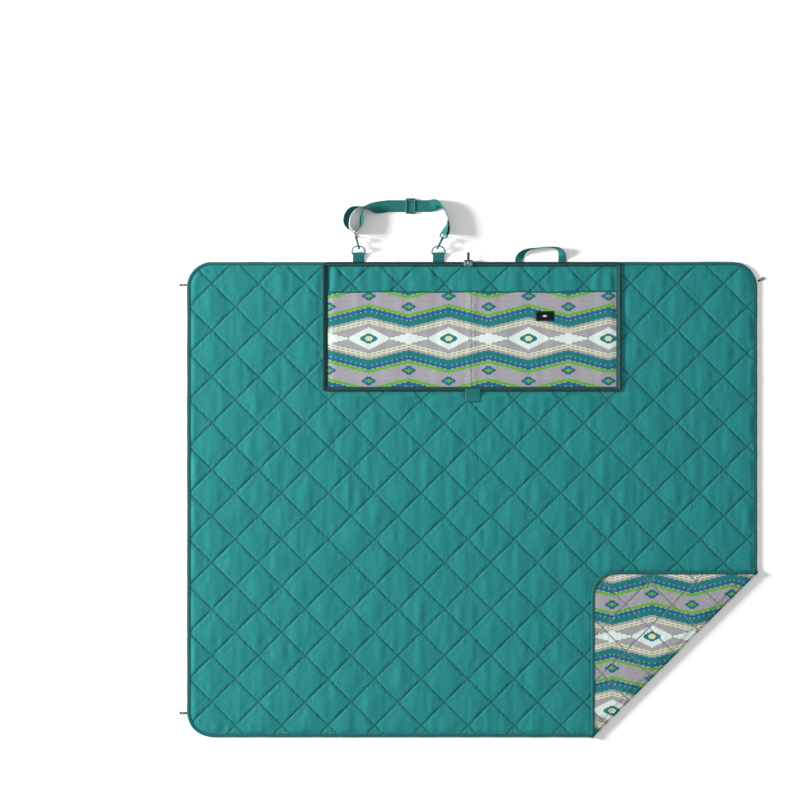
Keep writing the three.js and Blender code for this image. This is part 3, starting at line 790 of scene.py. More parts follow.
# where the bound edge itself goes round the fold, its nose is the binding turned about the fold's axis
nose_profile = np.array(
    [(15.6, 5.3), (15.6, 6.1), (12.0, 6.25), (5.0, 6.2), (2.0, 5.6), (0.5, 4.4), (0.0, 3.2)]
    + [(0.5, 1.8), (2.0, 0.7), (5.0, 0.3), (15.6, 0.3), (15.6, 4.6)]
)  # in from the edge along the fold, and out from its axis
nose_turn = np.linspace(-0.12, math.pi + 0.12, 17)
for name, place, inward in (("right", fold_right, (-1, -1)), ("bottom", fold_bottom, (1, 1))):
    inward = unit(inward)
    outward = unit((1, -1))
    reach = nose_profile[None, :, 1] * np.sin(nose_turn)[:, None]
    flat = np.array(place) + inward * nose_profile[None, :, :1] + outward * reach[..., None]
    height = fold_height - nose_profile[None, :, 1] * np.cos(nose_turn)[:, None]
    sections = np.concatenate([flat, height[..., None]], 2)
    points, faces = tube(sections)
    lay = np.stack(np.broadcast_arrays(6 * nose_turn[:, None], nose_profile[None, :, 0] * 0.7, 0.0), -1)
    nose = new_piece(f"fold_end_binding_{name}", points, faces, binding_twill, lay, closed=True)
    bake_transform(nose)


# ---- zip tape and coil ----
# A nylon coil zip runs round the bag. Its woven tape is sewn flat to the face on the inside and
# rises to the coil, whose turns are gripped round the tape's outer edge.
round_steps = 7


def bag_loop(side, above=None, below=None):
    """The bag's outline drawn inward by its own amount on each side, anticlockwise, always as many points."""
    above, below = side if above is None else above, side if below is None else below
    x1, y0, y1 = bag_half - side, bag_low + below, bag_high - above
    across = np.arange(-450, 451, 10.0)
    across = np.sort(np.concatenate([across[np.abs(across) > spine_reach + 1], spine_steps]))
    up = np.arange(376, 741, 10.0)
    turn = np.linspace(0, math.pi / 2, round_steps)
    pieces = [np.stack([across, 0 * across + y0], 1)]
    for k, (cx, cy, radius) in enumerate([(x1, y0, 9), (x1, y1, 16), (-x1, y1, 16), (-x1, y0, 9)]):
        radius = max(radius - side, 1.5)
        middle = np.array([cx - math.copysign(radius, cx), cy + (radius if cy == y0 else -radius)])
        angle = turn + (k - 1) * math.pi / 2
        pieces.append(middle + radius * np.stack([np.cos(angle), np.sin(angle)], 1))
        if k == 0:
            pieces.append(np.stack([0 * up + x1, up], 1))
        elif k == 1:
            pieces.append(np.stack([across[::-1], 0 * across + y1], 1))
        elif k == 2:
            pieces.append(np.stack([0 * up - x1, up[::-1]], 1))
    return np.concatenate(pieces)


def walked_length(points):
    """The length walked along a row of points."""
    return np.concatenate([[0], np.cumsum(np.linalg.norm(np.diff(points, axis=0), axis=1))])


tape_profile = [  # the share of the way in from the coil to the tape's inner edge, and the height
    (0.0, 11.95), (0.38, 11.95), (0.5, 11.5), (0.6, 10.2), (0.7, 9.35), (0.8, 9.1), (1.0, 9.1),
    (1.0, 8.5), (0.8, 8.5), (0.68, 8.7), (0.56, 9.6), (0.46, 10.9), (0.36, 11.25), (0.0, 11.25),
]
tape_start, tape_side, tape_top, tape_bottom = 2.0, 17.0, 15.5, 15.0


def tape_loop(share):
    """The tape's outline round the bag at a share of the way in, nearer the coil along the top."""
    return bag_loop(
        tape_start + share * (tape_side - tape_start),
        tape_start + share**0.55 * (tape_top - tape_start),
        tape_start + share * (tape_bottom - tape_start),
    )


sections = np.stack([np.insert(tape_loop(share), 2, height, axis=1) for share, height in tape_profile], 1)
points, faces = tube(sections, wrap=True)
tape_run = walked_length(sections[:, 0])
tape_across = [share * tape_side for share, _ in tape_profile]
lay = np.stack(np.broadcast_arrays(tape_run[:, None], tape_across, 0.0), -1)
tape_weave = sewn_cloth("herringbone_zip_tape", "063b3b", "0c5152", 2.2, [12.6, 15.6], "042c2d")
zip_tape = new_piece("zip_tape", points, faces, tape_weave, lay, closed=True)
spanning(zip_tape, "zip_tape", "left_zip_tape", "right_zip_tape")


def coil_nylon_black():
    """Extruded nylon filament, dyed nearly black: smooth, so each turn catches a small highlight."""
    material, tree, shader = new_material("nylon_coil_black", 0.35)
    place = add(tree, "ShaderNodeTexCoord").node.outputs["Object"]
    speckle = add(tree, "ShaderNodeTexNoise", {"Vector": place, "Scale": 900.0})
    colour = mix(tree, speckle, hex_colour("061917"), hex_colour("0f2b29"))
    tree.links.new(colour, shader.inputs["Base Color"])
    return material


coil_pitch = 2.6
loop = bag_loop(3.7)
loop = np.concatenate([loop, loop[:1]])
loop_run = walked_length(loop)
turns = int(loop_run[-1] / coil_pitch)
at = np.arange(2 * turns) * loop_run[-1] / (2 * turns)
coil_places = np.stack([np.interp(at, loop_run, loop[:, k]) for k in (0, 1)], 1)
coil_heading = unit(np.roll(coil_places, -1, 0) - np.roll(coil_places, 1, 0))
coil_inward = left_of(coil_heading)
ring = np.linspace(0, 2 * math.pi, 9)[:-1]
turn_x, turn_z = 0.85 * np.cos(ring), 11.6 + 1.4 * np.sin(ring)
offset = np.where(np.arange(2 * turns) % 2 == 0, 1.25, -1.25)
ends = offset[:, None] + np.array([-1.75, 1.75])
flat = (
    coil_places[:, None, None]
    + coil_heading[:, None, None] * turn_x[None, None, :, None]
    + coil_inward[:, None, None] * ends[:, :, None, None]
)
coil_points = np.concatenate([flat, np.broadcast_to(turn_z[:, None], flat.shape[:3] + (1,))], 3)
one_turn = grid_quads(2, 8, wrap_columns=True).tolist() + [list(range(7, -1, -1)), list(range(8, 16))]
coil_faces = [[corner + 16 * n for corner in face] for n in range(2 * turns) for face in one_turn]
zip_coil = new_piece("zip_coil", coil_points, coil_faces, coil_nylon_black(), closed=True)
spanning(zip_coil, "zip_coil", "left_zip_coil", "right_zip_coil")


# ---- pocket ----
# A panel of the printed cloth sewn under the zip tape on three sides, its open top edge bound with
# a thin strip, and a woven label sewn on it.
pocket_low, pocket_side = bag_low + 13.0, pocket_half + 3.0


def pocket_edge(x):
    """The open edge, which sags a little between the places where it is held."""
    return pocket_top + 2.2 * ripple(x, 0 * x, 52, 1, 21)


def pocket_height(x, y):
    """The panel: flat where it is sewn, else raised by the layers below, with soft upright wrinkles."""
    rise = ease(2, 22, inset(x, y, -pocket_side, pocket_side, pocket_low, pocket_top + 200, 8))
    height = 8.2 + rise * (2.6 + 0.9 * ripple(x, y, 90, 70, 22) + 0.7 * ripple(x, y, 23, 130, 23))
    height += rise * 0.7 * ripple(x, y, 60, 30, 24) * ease(pocket_top - 60, pocket_top, y)
    return height - 1.0 * rise * np.exp(-((x / 3.5) ** 2))


xs, ys = stations(-pocket_side, pocket_side, 5.0, 0.0), np.linspace(0, 1, 62)
xs = np.clip(xs, -pocket_side, pocket_side)
share, x = np.meshgrid(ys, xs, indexing="ij")
y = pocket_low + share * (pocket_edge(x) - pocket_low)
top_side = np.stack([x, y, pocket_height(x, y)], -1).reshape(-1, 3)
quads = grid_quads(len(ys), len(xs))
triangles = np.concatenate([quads[:, [0, 1, 2]], quads[:, [0, 2, 3]]])
points, faces = between(top_side, top_side - (0, 0, 0.6), triangles)


def pocket_cloth():
    """The printed polyester, unquilted, its bands along the bag and a sewn seam down the middle."""
    material, tree, shader = new_material("printed_polyester_pocket", 0.75, Specular_IOR_Level=0.2)
    lay, x, y = flat_place(tree)
    along = maths(tree, "ADD", x, 75.0)
    across = maths(tree, "SUBTRACT", y, 516.0)
    colour = printed_pattern(tree, along, across)
    middle = maths(tree, "ABSOLUTE", x)
    seam = maths(tree, "LESS_THAN", middle, 1.1)
    seam = maths(tree, "MULTIPLY", seam, 0.45)
    colour = mix(tree, seam, colour, hex_colour("54666a"))
    tree.links.new(colour, shader.inputs["Base Color"])
    cloth_bump(tree, shader, lay, middle, 0.12)
    return material


lay = np.tile(np.stack([x, y, 0 * x], -1).reshape(-1, 3), (2, 1))
pocket = new_piece("pocket_panel", points, faces, pocket_cloth(), lay, closed=True)
spanning(pocket, "print_cloth", "left_pocket_panel", "right_pocket_panel")

ring = np.linspace(0, 2 * math.pi, 11)[:-1]
hem_y, hem_z = 2.3 * rounded(np.cos(ring), 0.7), 1.15 * rounded(np.sin(ring), 0.8)
hem_x = xs[:, None] + 0 * ring
edge_y = pocket_edge(xs)[:, None]
edge_z = pocket_height(xs, pocket_edge(xs))[:, None] - 0.2
sections = np.stack([hem_x, edge_y + hem_y - 0.6, edge_z + hem_z], -1)
points, faces = tube(sections)
lay = np.stack(np.broadcast_arrays(hem_x, 8 + hem_y, 0.0), -1)
hem = new_piece("pocket_hem", points, faces, binding_twill, lay, closed=True)
spanning(hem, "binding", "left_pocket_hem", "right_pocket_hem")


def woven_label_cloth(centre):
    """Damask-woven black label: a plain ground, a pale stitched frame and a small plain lozenge."""
    material, tree, shader = new_material("damask_woven_label", 0.7, Specular_IOR_Level=0.1)
    lay, _, _ = flat_place(tree)
    place = vector_maths(tree, "SUBTRACT", lay, (*centre, 0.0))
    away = vector_maths(tree, "ABSOLUTE", place)
    thread = add(tree, "ShaderNodeTexNoise", {"Vector": lay, "Scale": 1.2, "Detail": 2.0})
    colour = mix(tree, thread, hex_colour("020505"), hex_colour("0a1413"))
    x, y, _ = add(tree, "ShaderNodeSeparateXYZ", {0: away}).node.outputs
    to_frame_x = maths(tree, "SUBTRACT", label_half[0] - 2.4, x)
    to_frame_y = maths(tree, "SUBTRACT", label_half[1] - 2.4, y)
    to_frame = maths(tree, "MINIMUM", to_frame_x, to_frame_y)
    to_frame = maths(tree, "ABSOLUTE", to_frame)
    frame_line = maths(tree, "LESS_THAN", to_frame, 0.4)
    frame_line = maths(tree, "MULTIPLY", frame_line, 0.5)
    colour = mix(tree, frame_line, colour, hex_colour("5c6a68"))
    colour = mix(tree, lozenges(tree, place, (0, 0), (9, 3.6)), colour, hex_colour("b9c2bf"))
    tree.links.new(colour, shader.inputs["Base Color"])
    bump = add(tree, "ShaderNodeBump", {"Height": thread, "Distance": 0.2 * MM})
    tree.links.new(bump, shader.inputs["Normal"])
    return material


label_low, label_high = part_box("woven_label")
label_middle = ((label_low.x + label_high.x) / 2 / MM, (label_low.y + label_high.y) / 2 / MM)
label_half = ((label_high.x - label_low.x) / 2 / MM, (label_high.y - label_low.y) / 2 / MM)
y, x = np.meshgrid(np.linspace(-1, 1, 9), np.linspace(-1, 1, 15), indexing="ij")
label_x, label_y = label_middle[0] + x * label_half[0], label_middle[1] + y * label_half[1]
crown = 0.9 * (1 - 0.75 * np.maximum(np.abs(x), np.abs(y)) ** 8)
label_top = np.stack([label_x, label_y, pocket_height(label_x, label_y) + 0.35 + crown], -1).reshape(-1, 3)
quads = grid_quads(9, 15)
triangles = np.concatenate([quads[:, [0, 1, 2]], quads[:, [0, 2, 3]]])
points, faces = between(label_top, label_top - (0, 0, 0.8), triangles)
label = new_piece("woven_label_patch", points, faces, woven_label_cloth(label_middle), points, closed=True)
fitted(label, "right_half", "woven_label")


# ---- webbing ----
# Teal polyester webbing: flat, ribbed across, with round woven edges. The tab over the zip's end,
# the D-ring tabs, the shoulder strap and the grab handle are all cut from it.
def rounded_section(width, thickness, count=20, corner=0.35):
    """A bar's section: a rounded rectangle, by a circle's cosine and sine raised to small powers."""
    ring = np.linspace(0, 2 * math.pi, count + 1)[:-1]
    across, up = rounded(np.cos(ring), corner), rounded(np.sin(ring), corner)
    return np.stack([width / 2 * across, thickness / 2 * up], 1)


def swept(places, side, section, scale=1.0, wrap=False):
    """A section carried along places, its first axis kept along side, as (points, faces, lay)."""
    places = np.asarray(places, float)
    if wrap:
        heading = unit(np.roll(places, -1, 0) - np.roll(places, 1, 0))
    else:
        heading = unit(np.gradient(places, axis=0))
    side = unit(side - (side * heading).sum(1, keepdims=True) * heading)
    up = np.cross(heading, side)
    sized = section[None] * np.broadcast_to(scale, len(places))[:, None, None]
    sections = places[:, None] + side[:, None] * sized[..., :1] + up[:, None] * sized[..., 1:]
    points, faces = tube(sections, wrap)
    lay = np.stack(np.broadcast_arrays(walked_length(places)[:, None], section[None, :, 0], 0.0), -1)
    return points, faces, lay.reshape(-1, 3)


def joined(*parts):
    """Several meshes, each (points, faces, ...), as one (points, faces)."""
    points, faces, count = [], [], 0
    for part in parts:
        points.append(np.asarray(part[0]).reshape(-1, 3))
        faces.extend([corner + count for corner in face] for face in np.asarray(part[1], object))
        count += len(points[-1])
    return np.concatenate(points), faces


def through(waypoints, steps):
    """A smooth curve through rows of numbers: cubic pieces whose slopes weigh both neighbouring steps."""
    rows = np.asarray(waypoints, float)
    gaps = np.linalg.norm(np.diff(rows[:, :3], axis=0), axis=1)[:, None] ** 0.5
    rates = np.diff(rows, axis=0) / gaps
    inner = (rates[:-1] * gaps[1:] + rates[1:] * gaps[:-1]) / (gaps[:-1] + gaps[1:])
    slopes = np.concatenate([rates[:1], inner, rates[-1:]])
    t = (np.arange(steps) / steps)[None, :, None]
    start, end = rows[:-1, None], rows[1:, None]
    leave, arrive = slopes[:-1, None] * gaps[:, None], slopes[1:, None] * gaps[:, None]
    curve = (2 * t**3 - 3 * t**2 + 1) * start + (t**3 - 2 * t**2 + t) * leave
    curve += (3 * t**2 - 2 * t**3) * end + (t**3 - t**2) * arrive
    return np.concatenate([curve.reshape(-1, rows.shape[1]), rows[-1:]])


webbing_teal = sewn_cloth("polyester_strap_webbing", "0b5553", "157270", 1.9, [-15.5, 15.5], "0b4a48")

end_tab_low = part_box("left_zip_end_tab")[0]
end_tab_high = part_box("right_zip_end_tab")[1]
tab_y0, tab_y1 = end_tab_low.y / MM, end_tab_high.y / MM
side_line = through(
    [(tab_y0, 10.9, 0), (tab_y0 + 10, 11.4, 0), (bag_low - 9, 11.9, 0)]
    + [(bag_low - 1, 14.2, 0), (bag_low + 4, 14.6, 0), (tab_y1, 14.2, 0)],
    5,
)[:, :2]
normal = left_of(unit(np.gradient(side_line, axis=0)))
loop = np.concatenate([side_line + 0.65 * normal, (side_line - 0.65 * normal)[::-1]])
tab_xs = stations(end_tab_low.x / MM, end_tab_high.x / MM, 4.0, 2.0)
tab_xs = np.clip(tab_xs, end_tab_low.x / MM, end_tab_high.x / MM)
sections = np.stack(np.broadcast_arrays(tab_xs[:, None], loop[None, :, 0], loop[None, :, 1]), -1)
points, faces = tube(sections)
lay = np.stack(np.broadcast_arrays(loop[None, :, 0], tab_xs[:, None] * 0.72 - 1.4, 0.0), -1)
end_tab = new_piece("zip_end_tab", points, faces, webbing_teal, lay, closed=True)
spanning(end_tab, "webbing", "left_zip_end_tab", "right_zip_end_tab")

tab_xs = {"left": -364.0, "right": -107.5}
ring_bar = np.array([788.0, 4.2])  # y and z of the axis that the D-rings turn about
ring_reach, ring_rise = 23.5, 19.8
tab_side_view = through(
    [(735, 0.7, 0), (760, 0.7, 0), (779, 0.72, 0), (788, 0.75, 0), (791.2, 2.4, 0), (791.6, 4.2, 0)]
    + [(791.2, 6.0, 0), (788, 7.65, 0), (783, 7.5, 0), (777, 5.3, 0), (771, 3.4, 0), (764.4, 2.3, 0)],
    4,
)[:, :2]
webbing_section = rounded_section(36.0, 1.15)
for side, x in tab_xs.items():
    places = np.insert(tab_side_view, 0, x, axis=1)
    points, faces, lay = swept(places, (1.0, 0, 0), webbing_section)
    tab = new_piece(f"{side}_ring_tab", points, faces, webbing_teal, lay, closed=True)
    fitted(tab, "left_half", f"{side}_strap_tab")


# ---- D-rings, snap hooks and swivel eyes ----
# Moulded teal acetal: a D-ring in each tab, a spring-gate hook on it, and under the hook a
# swivelling eye that the strap is sewn through.
def moulded_acetal():
    """Injection-moulded acetal, dyed through: a satin surface with soft highlights and a faint flow grain."""
    material, tree, shader = new_material("moulded_acetal_teal", 0.38)
    place = add(tree, "ShaderNodeTexCoord").node.outputs["Object"]
    flow = add(tree, "ShaderNodeTexNoise", {"Vector": place, "Scale": 140.0, "Detail": 3.0})
    colour = mix(tree, flow, hex_colour("0d4f4c"), hex_colour("14605c"))
    tree.links.new(colour, shader.inputs["Base Color"])
    grain = add(tree, "ShaderNodeTexNoise", {"Vector": place, "Scale": 2500.0})
    bump = add(tree, "ShaderNodeBump", {"Height": grain, "Distance": 0.05 * MM, "Strength": 0.5})
    tree.links.new(bump, shader.inputs["Normal"])
    return material


def brushed_metal(name, dark, light, roughness):
    """Plated zinc: metallic, with a fine cloudy wear that varies its tone."""
    material, tree, shader = new_material(name, roughness, Metallic=0.85)
    place = add(tree, "ShaderNodeTexCoord").node.outputs["Object"]
    cloud = add(tree, "ShaderNodeTexNoise", {"Vector": place, "Scale": 220.0, "Detail": 4.0})
    colour = mix(tree, cloud, hex_colour(dark), hex_colour(light))
    tree.links.new(colour, shader.inputs["Base Color"])
    return material


def turned_about(points, axis, degrees):
    """Points turned anticlockwise about the x, y or z axis, numbered 0 to 2."""
    first, second = (axis + 1) % 3, (axis + 2) % 3
    cosine, sine = math.cos(math.radians(degrees)), math.sin(math.radians(degrees))
    points = np.asarray(points, float)
    result = points.copy()
    result[..., first] = cosine * points[..., first] - sine * points[..., second]
    result[..., second] = sine * points[..., first] + cosine * points[..., second]
    return result


def arc(centre, radius, start, end, steps):
    """Places on part of a circle, from one angle to another in degrees."""
    angle = np.radians(np.linspace(start, end, steps))
    return np.stack([centre[0] + radius * np.cos(angle), centre[1] + radius * np.sin(angle)], 1)


def round_rod(stops, count=20):
    """A round rod along +Y whose radius changes: stops are rows of (y, radius)."""
    ring = np.linspace(0, 2 * math.pi, count + 1)[:-1]
    y, radius = np.array(stops, float).T[..., None]
    return tube(np.stack(np.broadcast_arrays(radius * np.cos(ring), y, radius * np.sin(ring)), -1))


def corner_loop(x0, x1, y0, y1, radius, steps=5):
    """A rectangle with round corners, as places anticlockwise."""
    corners = [(x1, y0, -90), (x1, y1, 0), (x0, y1, 90), (x0, y0, 180)]
    centres = [
        (x - math.copysign(radius, x - (x0 + x1) / 2), y - math.copysign(radius, y - (y0 + y1) / 2), start)
        for x, y, start in corners
    ]
    return np.concatenate([arc((x, y), radius, start, start + 90, steps) for x, y, start in centres])


acetal = moulded_acetal()
plated_grey = brushed_metal("plated_zinc_grey", "59686a", "7d8b8c", 0.34)

ring_depth = math.hypot(ring_reach, ring_rise)
ring_half, ring_straight = 20.7, 0.35 * ring_depth
bow = np.radians(np.linspace(0, 180, 25))
ring_outline = np.concatenate(
    [
        np.stack([np.linspace(-ring_half + 2, ring_half - 2, 12), np.zeros(12)], 1),
        arc((ring_half - 2, 2), 2, -70, -20, 3),
        [(ring_half, 5.0)],
        np.stack([ring_half * np.cos(bow), ring_straight + 0.65 * ring_depth * np.sin(bow)], 1),
        [(-ring_half, 5.0)],
        arc((-ring_half + 2, 2), 2, 200, 250, 3),
    ]
)
ring_places = np.insert(ring_outline, 2, 0.0, axis=1)
ring_tilt = math.degrees(math.atan2(ring_rise, ring_reach))
for side, x in tab_xs.items():
    points, faces, _ = swept(ring_places, (0, 0, 1.0), rounded_section(3.9, 3.9, 12, 0.85), wrap=True)
    points = turned_about(points, 0, ring_tilt) + (x, *ring_bar)
    ring = new_piece(f"{side}_ring", points, faces, acetal, closed=True)
    fitted(ring, f"{side}_d_ring", f"{side}_d_ring")

hook_bow, hook_shoulder = 8.25, 16.0
hook_line = np.concatenate(  # y and z, from the nose round the swivel end and the bowl to the tip
    [
        arc((hook_shoulder, 0), hook_bow, 88, -90, 19),
        np.stack([np.linspace(14, 2, 5), np.full(5, -hook_bow)], 1),
        arc((0, 0), hook_bow, -90, -270, 19),
        [(1.6, hook_bow), (3.1, hook_bow)],
    ]
)
hook_places = np.insert(hook_line, 0, 0.0, axis=1)
tip = np.linspace(0, 1, len(hook_places))
hook_scale = 1 - 0.18 * ease(0.86, 1, tip) - 0.1 * (1 - ease(0, 0.1, tip))
hook_mesh = joined(
    swept(hook_places, (1.0, 0, 0), rounded_section(6.8, 4.4, 16, 0.6), hook_scale),
    round_rod([(24.2, 4.3), (24.9, 4.9), (27.0, 4.9), (27.5, 4.5)]),
)
gate_line = np.stack([np.zeros(12), np.linspace(3.8, 15.4, 12), np.full(12, 8.3)], 1)
gate_ribs = 0.92 + 0.08 * np.array([0.2, 1, 1, 0, 1, 0, 1, 0, 1, 1, 1, 0.4])
gate_mesh = swept(gate_line, (1.0, 0, 0), rounded_section(4.9, 4.1, 14, 0.6), gate_ribs)
pin_mesh = joined(
    round_rod([(18.0, 3.6), (18.3, 4.0), (19.5, 4.0), (19.8, 3.7)]),
    round_rod([(19.7, 2), (27.9, 2)]),
)
eye_line = np.insert(corner_loop(-21.75, 21.75, 31.25, 44.6, 3.2), 2, 0.0, axis=1)
eye_mesh = joined(
    swept(eye_line, (0, 0, 1.0), rounded_section(3.9, 3.5, 14, 0.6), wrap=True),
    round_rod([(27.9, 4.6), (28.4, 5.0), (30.2, 5.0), (31.2, 3.6)]),
)
for side, yaw, roll in (("left", 15, 90), ("right", -26, 60)):
    origin = np.array((tab_xs[side], ring_bar[0] + ring_reach, ring_bar[1] + ring_rise))
    for name, mesh, body, material, slot, node in (
        ("hook_frame", hook_mesh, f"{side}_hook", acetal, "teal_plastic", f"{side}_snap_hook"),
        ("spring_gate", gate_mesh, f"{side}_gate", acetal, "teal_plastic", f"{side}_hook_gate"),
        ("swivel_rivet", pin_mesh, "carry_strap", plated_grey, "metal", f"{side}_swivel_pin"),
        ("strap_eye", eye_mesh, "carry_strap", acetal, "teal_plastic", f"{side}_swivel_eye"),
    ):
        points = turned_about(mesh[0], 1, -roll) if name == "strap_eye" else mesh[0]
        points = turned_about(points, 2, yaw) + origin
        piece = new_piece(f"{side}_{name}", points, mesh[1], material, closed=True)
        fitted(piece, body, node)


# ---- shoulder strap ----
# One length of webbing: round the right eye, through the tri-glide, round the left eye and back
# under itself to the tri-glide, which takes its tail.
def round_eye(side, yaw, roll):
    """The strap's places and width directions round the far bar of an eye, from one face to the other."""
    along = turned_about((0, 1.0, 0), 2, yaw)
    across = turned_about((math.cos(math.radians(roll)), 0, math.sin(math.radians(roll))), 2, yaw)
    normal = np.cross(along, across)
    centre = np.array((tab_xs[side], ring_bar[0] + ring_reach, ring_bar[1] + ring_rise)) + 45.2 * along
    turn = np.linspace(0, math.pi, 7)[:, None]
    places = centre - 3.9 * (normal * np.cos(turn) + along * np.sin(turn))
    width = np.broadcast_to(across * (-1 if side == "left" else 1), places.shape)
    return np.concatenate([places, width], 1).tolist()


strap_route = [  # x, y, z and the direction of the strap's width
    [-79.5, 896, 19.6, 0, 0, 1], [-80, 882, 20.4, 0.1, -0.05, 1], [-86, 866, 22.6, 0.3, -0.15, 0.9],
    *round_eye("right", -26, 60),
    [-78.5, 866, 20.8, 0.3, -0.15, 0.9], [-75, 880, 19.8, 0.1, -0.05, 1], [-75.5, 894, 19.4, 0, 0, 1],
    [-83, 916, 19.4, 0, 0, 1], [-94, 935, 19.4, 0, 0.1, 1], [-110, 946, 14.6, 0, 0.7, 0.7],
    [-128, 943, 5.4, 0, 1, 0.12], [-140, 941, 3.8, 0, 1, 0], [-150, 941, 3.8, 0, 1, 0],
    [-197, 941, 3.8, 0, 1, 0], [-245, 941, 3.8, 0, 1, 0], [-258, 941, 3.8, 0, 1, 0],
    [-268, 941, 3.8, 0, 1, 0], [-290, 938.5, 4.8, 0, 1, -0.06], [-316, 936, 12, 0, 0.86, -0.5],
    [-340, 938, 19, 0, 0.25, -0.97], [-363, 938, 19.6, 0.1, 0, -0.99], [-385, 930, 18.6, 0.38, -0.16, -0.91],
    [-399, 912, 17.6, 0.5, 0, -0.87], [-403.5, 886, 18.4, 0.42, 0, -0.91], [-396, 867, 21, 0.18, 0, -0.98],
    [-384.5, 860, 23.4, 0, 0, -1],
    *round_eye("left", 15, 90),
    [-366, 863, 23, 0, 0, -1], [-357, 875, 20.4, -0.2, 0, -0.98], [-353.5, 895, 19, -0.34, 0, -0.94],
    [-352, 915, 19.2, -0.22, 0, -0.98], [-345, 930.5, 19.4, 0, 0.1, -1], [-331, 934, 16.4, 0, 0.5, -0.86],
    [-312, 934, 9.6, 0, 0.9, -0.44], [-290, 937.5, 2.4, 0, 1, -0.06], [-268, 941, 0.9, 0, 1, 0],
    [-258, 941, 0.9, 0, 1, 0], [-250, 941, 0.9, 0, 1, 0],
]
strap_line = through(strap_route, 5)
strap_section = rounded_section(38.0, 1.2)
points, faces, lay = swept(strap_line[:, :3], strap_line[:, 3:], strap_section)
strap = new_piece("shoulder_strap", points, faces, webbing_teal, lay, closed=True)
fitted(strap, "carry_strap", "strap_webbing")

glide_x, glide_y = -197.0, 941.0
tail_line = [(glide_x + x, glide_y, 2.35) for x in np.linspace(-54, -2.6, 12)]
points, faces, lay = swept(tail_line, (0, 1.0, 0), rounded_section(38.0, 1.05))
tail = new_piece("strap_tail_end", points, faces, webbing_teal, lay, closed=True)
fitted(tail, "tri_glide", "strap_tail")


def slab(low, high, radius, soften=0.5):
    """A block with round upright edges and softened rims."""
    levels = [(low[2], soften), (low[2] + soften, 0), (high[2] - soften, 0), (high[2], soften)]
    rings = []
    for z, less in levels:
        outline = corner_loop(low[0] + less, high[0] - less, low[1] + less, high[1] - less, radius)
        rings.append(np.insert(outline, 2, z, axis=1))
    return tube(np.array(rings))


def glide_bar(x0, x1, y0, y1, z0, z1):
    """A bar of the tri-glide from its place about the glide's middle."""
    return slab((glide_x + x0, glide_y + y0, z0), (glide_x + x1, glide_y + y1, z1), 1.0, 0.6)


points, faces = joined(
    glide_bar(-15.5, 15.5, 20, 25, 0.3, 7.2),
    glide_bar(-15.5, 15.5, -25, -20, 0.3, 7.2),
    glide_bar(-2.2, 2.2, -21, 21, 0.3, 2.8),
    glide_bar(-15.5, -11, -21, 21, 4.8, 7.2),
    glide_bar(11, 15.5, -21, 21, 4.8, 7.2),
)
glide = new_piece("strap_adjuster", points, faces, acetal, closed=True)
fitted(glide, "tri_glide", "tri_glide")


# ---- zip slider and pull ----
# A plated slider rides the coil at the bag's top edge, with a bridge that holds a short dark pull.
crown_x = -12.0
crown_side_view = [
    (751.4, 14.9), (751.5, 17.6), (753.2, 18.7), (758, 18.75), (762.8, 18.7), (764.5, 17.6), (764.6, 14.9),
]
crown_line = through([(crown_x, y, z) for y, z in crown_side_view], 4)
points, faces = joined(
    slab((-26, 747, 13.4), (2, 768, 15.2), 5.0),
    slab((-26, 751.5, 8.5), (2, 768, 9.9), 4.0),
    slab((-26, 763.4, 8.7), (2, 768, 15.0), 2.0),
    swept(crown_line, (1.0, 0, 0), rounded_section(5.0, 1.7, 12, 0.6)),
)
slider = new_piece("slider_body", points, faces, plated_grey, closed=True)
fitted(slider, "zip_slider", "zip_slider")


def moulded_pull():
    """Soft black moulded rubber over a wire: matt, with a very fine grain."""
    material, tree, shader = new_material("moulded_rubber_black", 0.55)
    place = add(tree, "ShaderNodeTexCoord").node.outputs["Object"]
    grain = add(tree, "ShaderNodeTexNoise", {"Vector": place, "Scale": 900.0, "Detail": 3.0})
    tree.links.new(mix(tree, grain, hex_colour("0a1413"), hex_colour("16211f")), shader.inputs["Base Color"])
    bump = add(tree, "ShaderNodeBump", {"Height": grain, "Distance": 0.1 * MM})
    tree.links.new(bump, shader.inputs["Normal"])
    return material


eye_wire = np.insert(corner_loop(crown_x - 3.85, crown_x + 3.85, 757.8, 768.6, 2.0), 2, 16.5, axis=1)
tongue = np.array([(768, 3.6), (771, 4.1), (776, 3.9), (782, 4.0), (788, 4.4), (790.6, 4.1), (791.8, 3.0)])
tongue_line = [(crown_x, y, 16.5) for y in tongue[:, 0]]
points, faces = joined(
    swept(eye_wire, (0, 0, 1.0), rounded_section(1.5, 1.3, 10, 0.8), wrap=True),
    swept(tongue_line, (1.0, 0, 0), rounded_section(2.0, 0.4, 14, 0.55), tongue[:, 1]),
)
pull = new_piece("slider_pull", points, faces, moulded_pull(), closed=True)
fitted(pull, "zip_pull", "zip_pull")


# ---- grab handle and stake loops ----
# A doubled webbing handle stands at the bag's edge on its two sewn ends, and a short loop of dark
# cord for a ground stake is sewn into the binding near each corner.
handle_left, handle_right, handle_z = 150.5, 289.5, 1.5
handle_route = [  # x, y, z and the direction of the webbing's width
    [handle_left, 763.8, handle_z, -1, 0, 0], [handle_left, 767, handle_z, -1, 0, 0],
    [152, 774, 3, -0.98, 0.1, 0.1], [159.5, 787, 8.6, -0.7, 0.35, 0.6], [174.5, 798, 13.2, -0.2, 0.3, 0.93],
    [208.5, 805.5, 14, 0, 0, 1], [250.5, 808.6, 14, 0, 0, 1], [277.5, 803, 13.6, 0.3, 0.2, 0.93],
    [287.5, 789, 9.2, 0.75, 0.2, 0.6], [handle_right, 775, 3.2, 0.98, 0.05, 0.12],
    [handle_right, 767, handle_z, 1, 0, 0], [handle_right, 763.8, handle_z, 1, 0, 0],
]
handle_line = through(handle_route, 8)
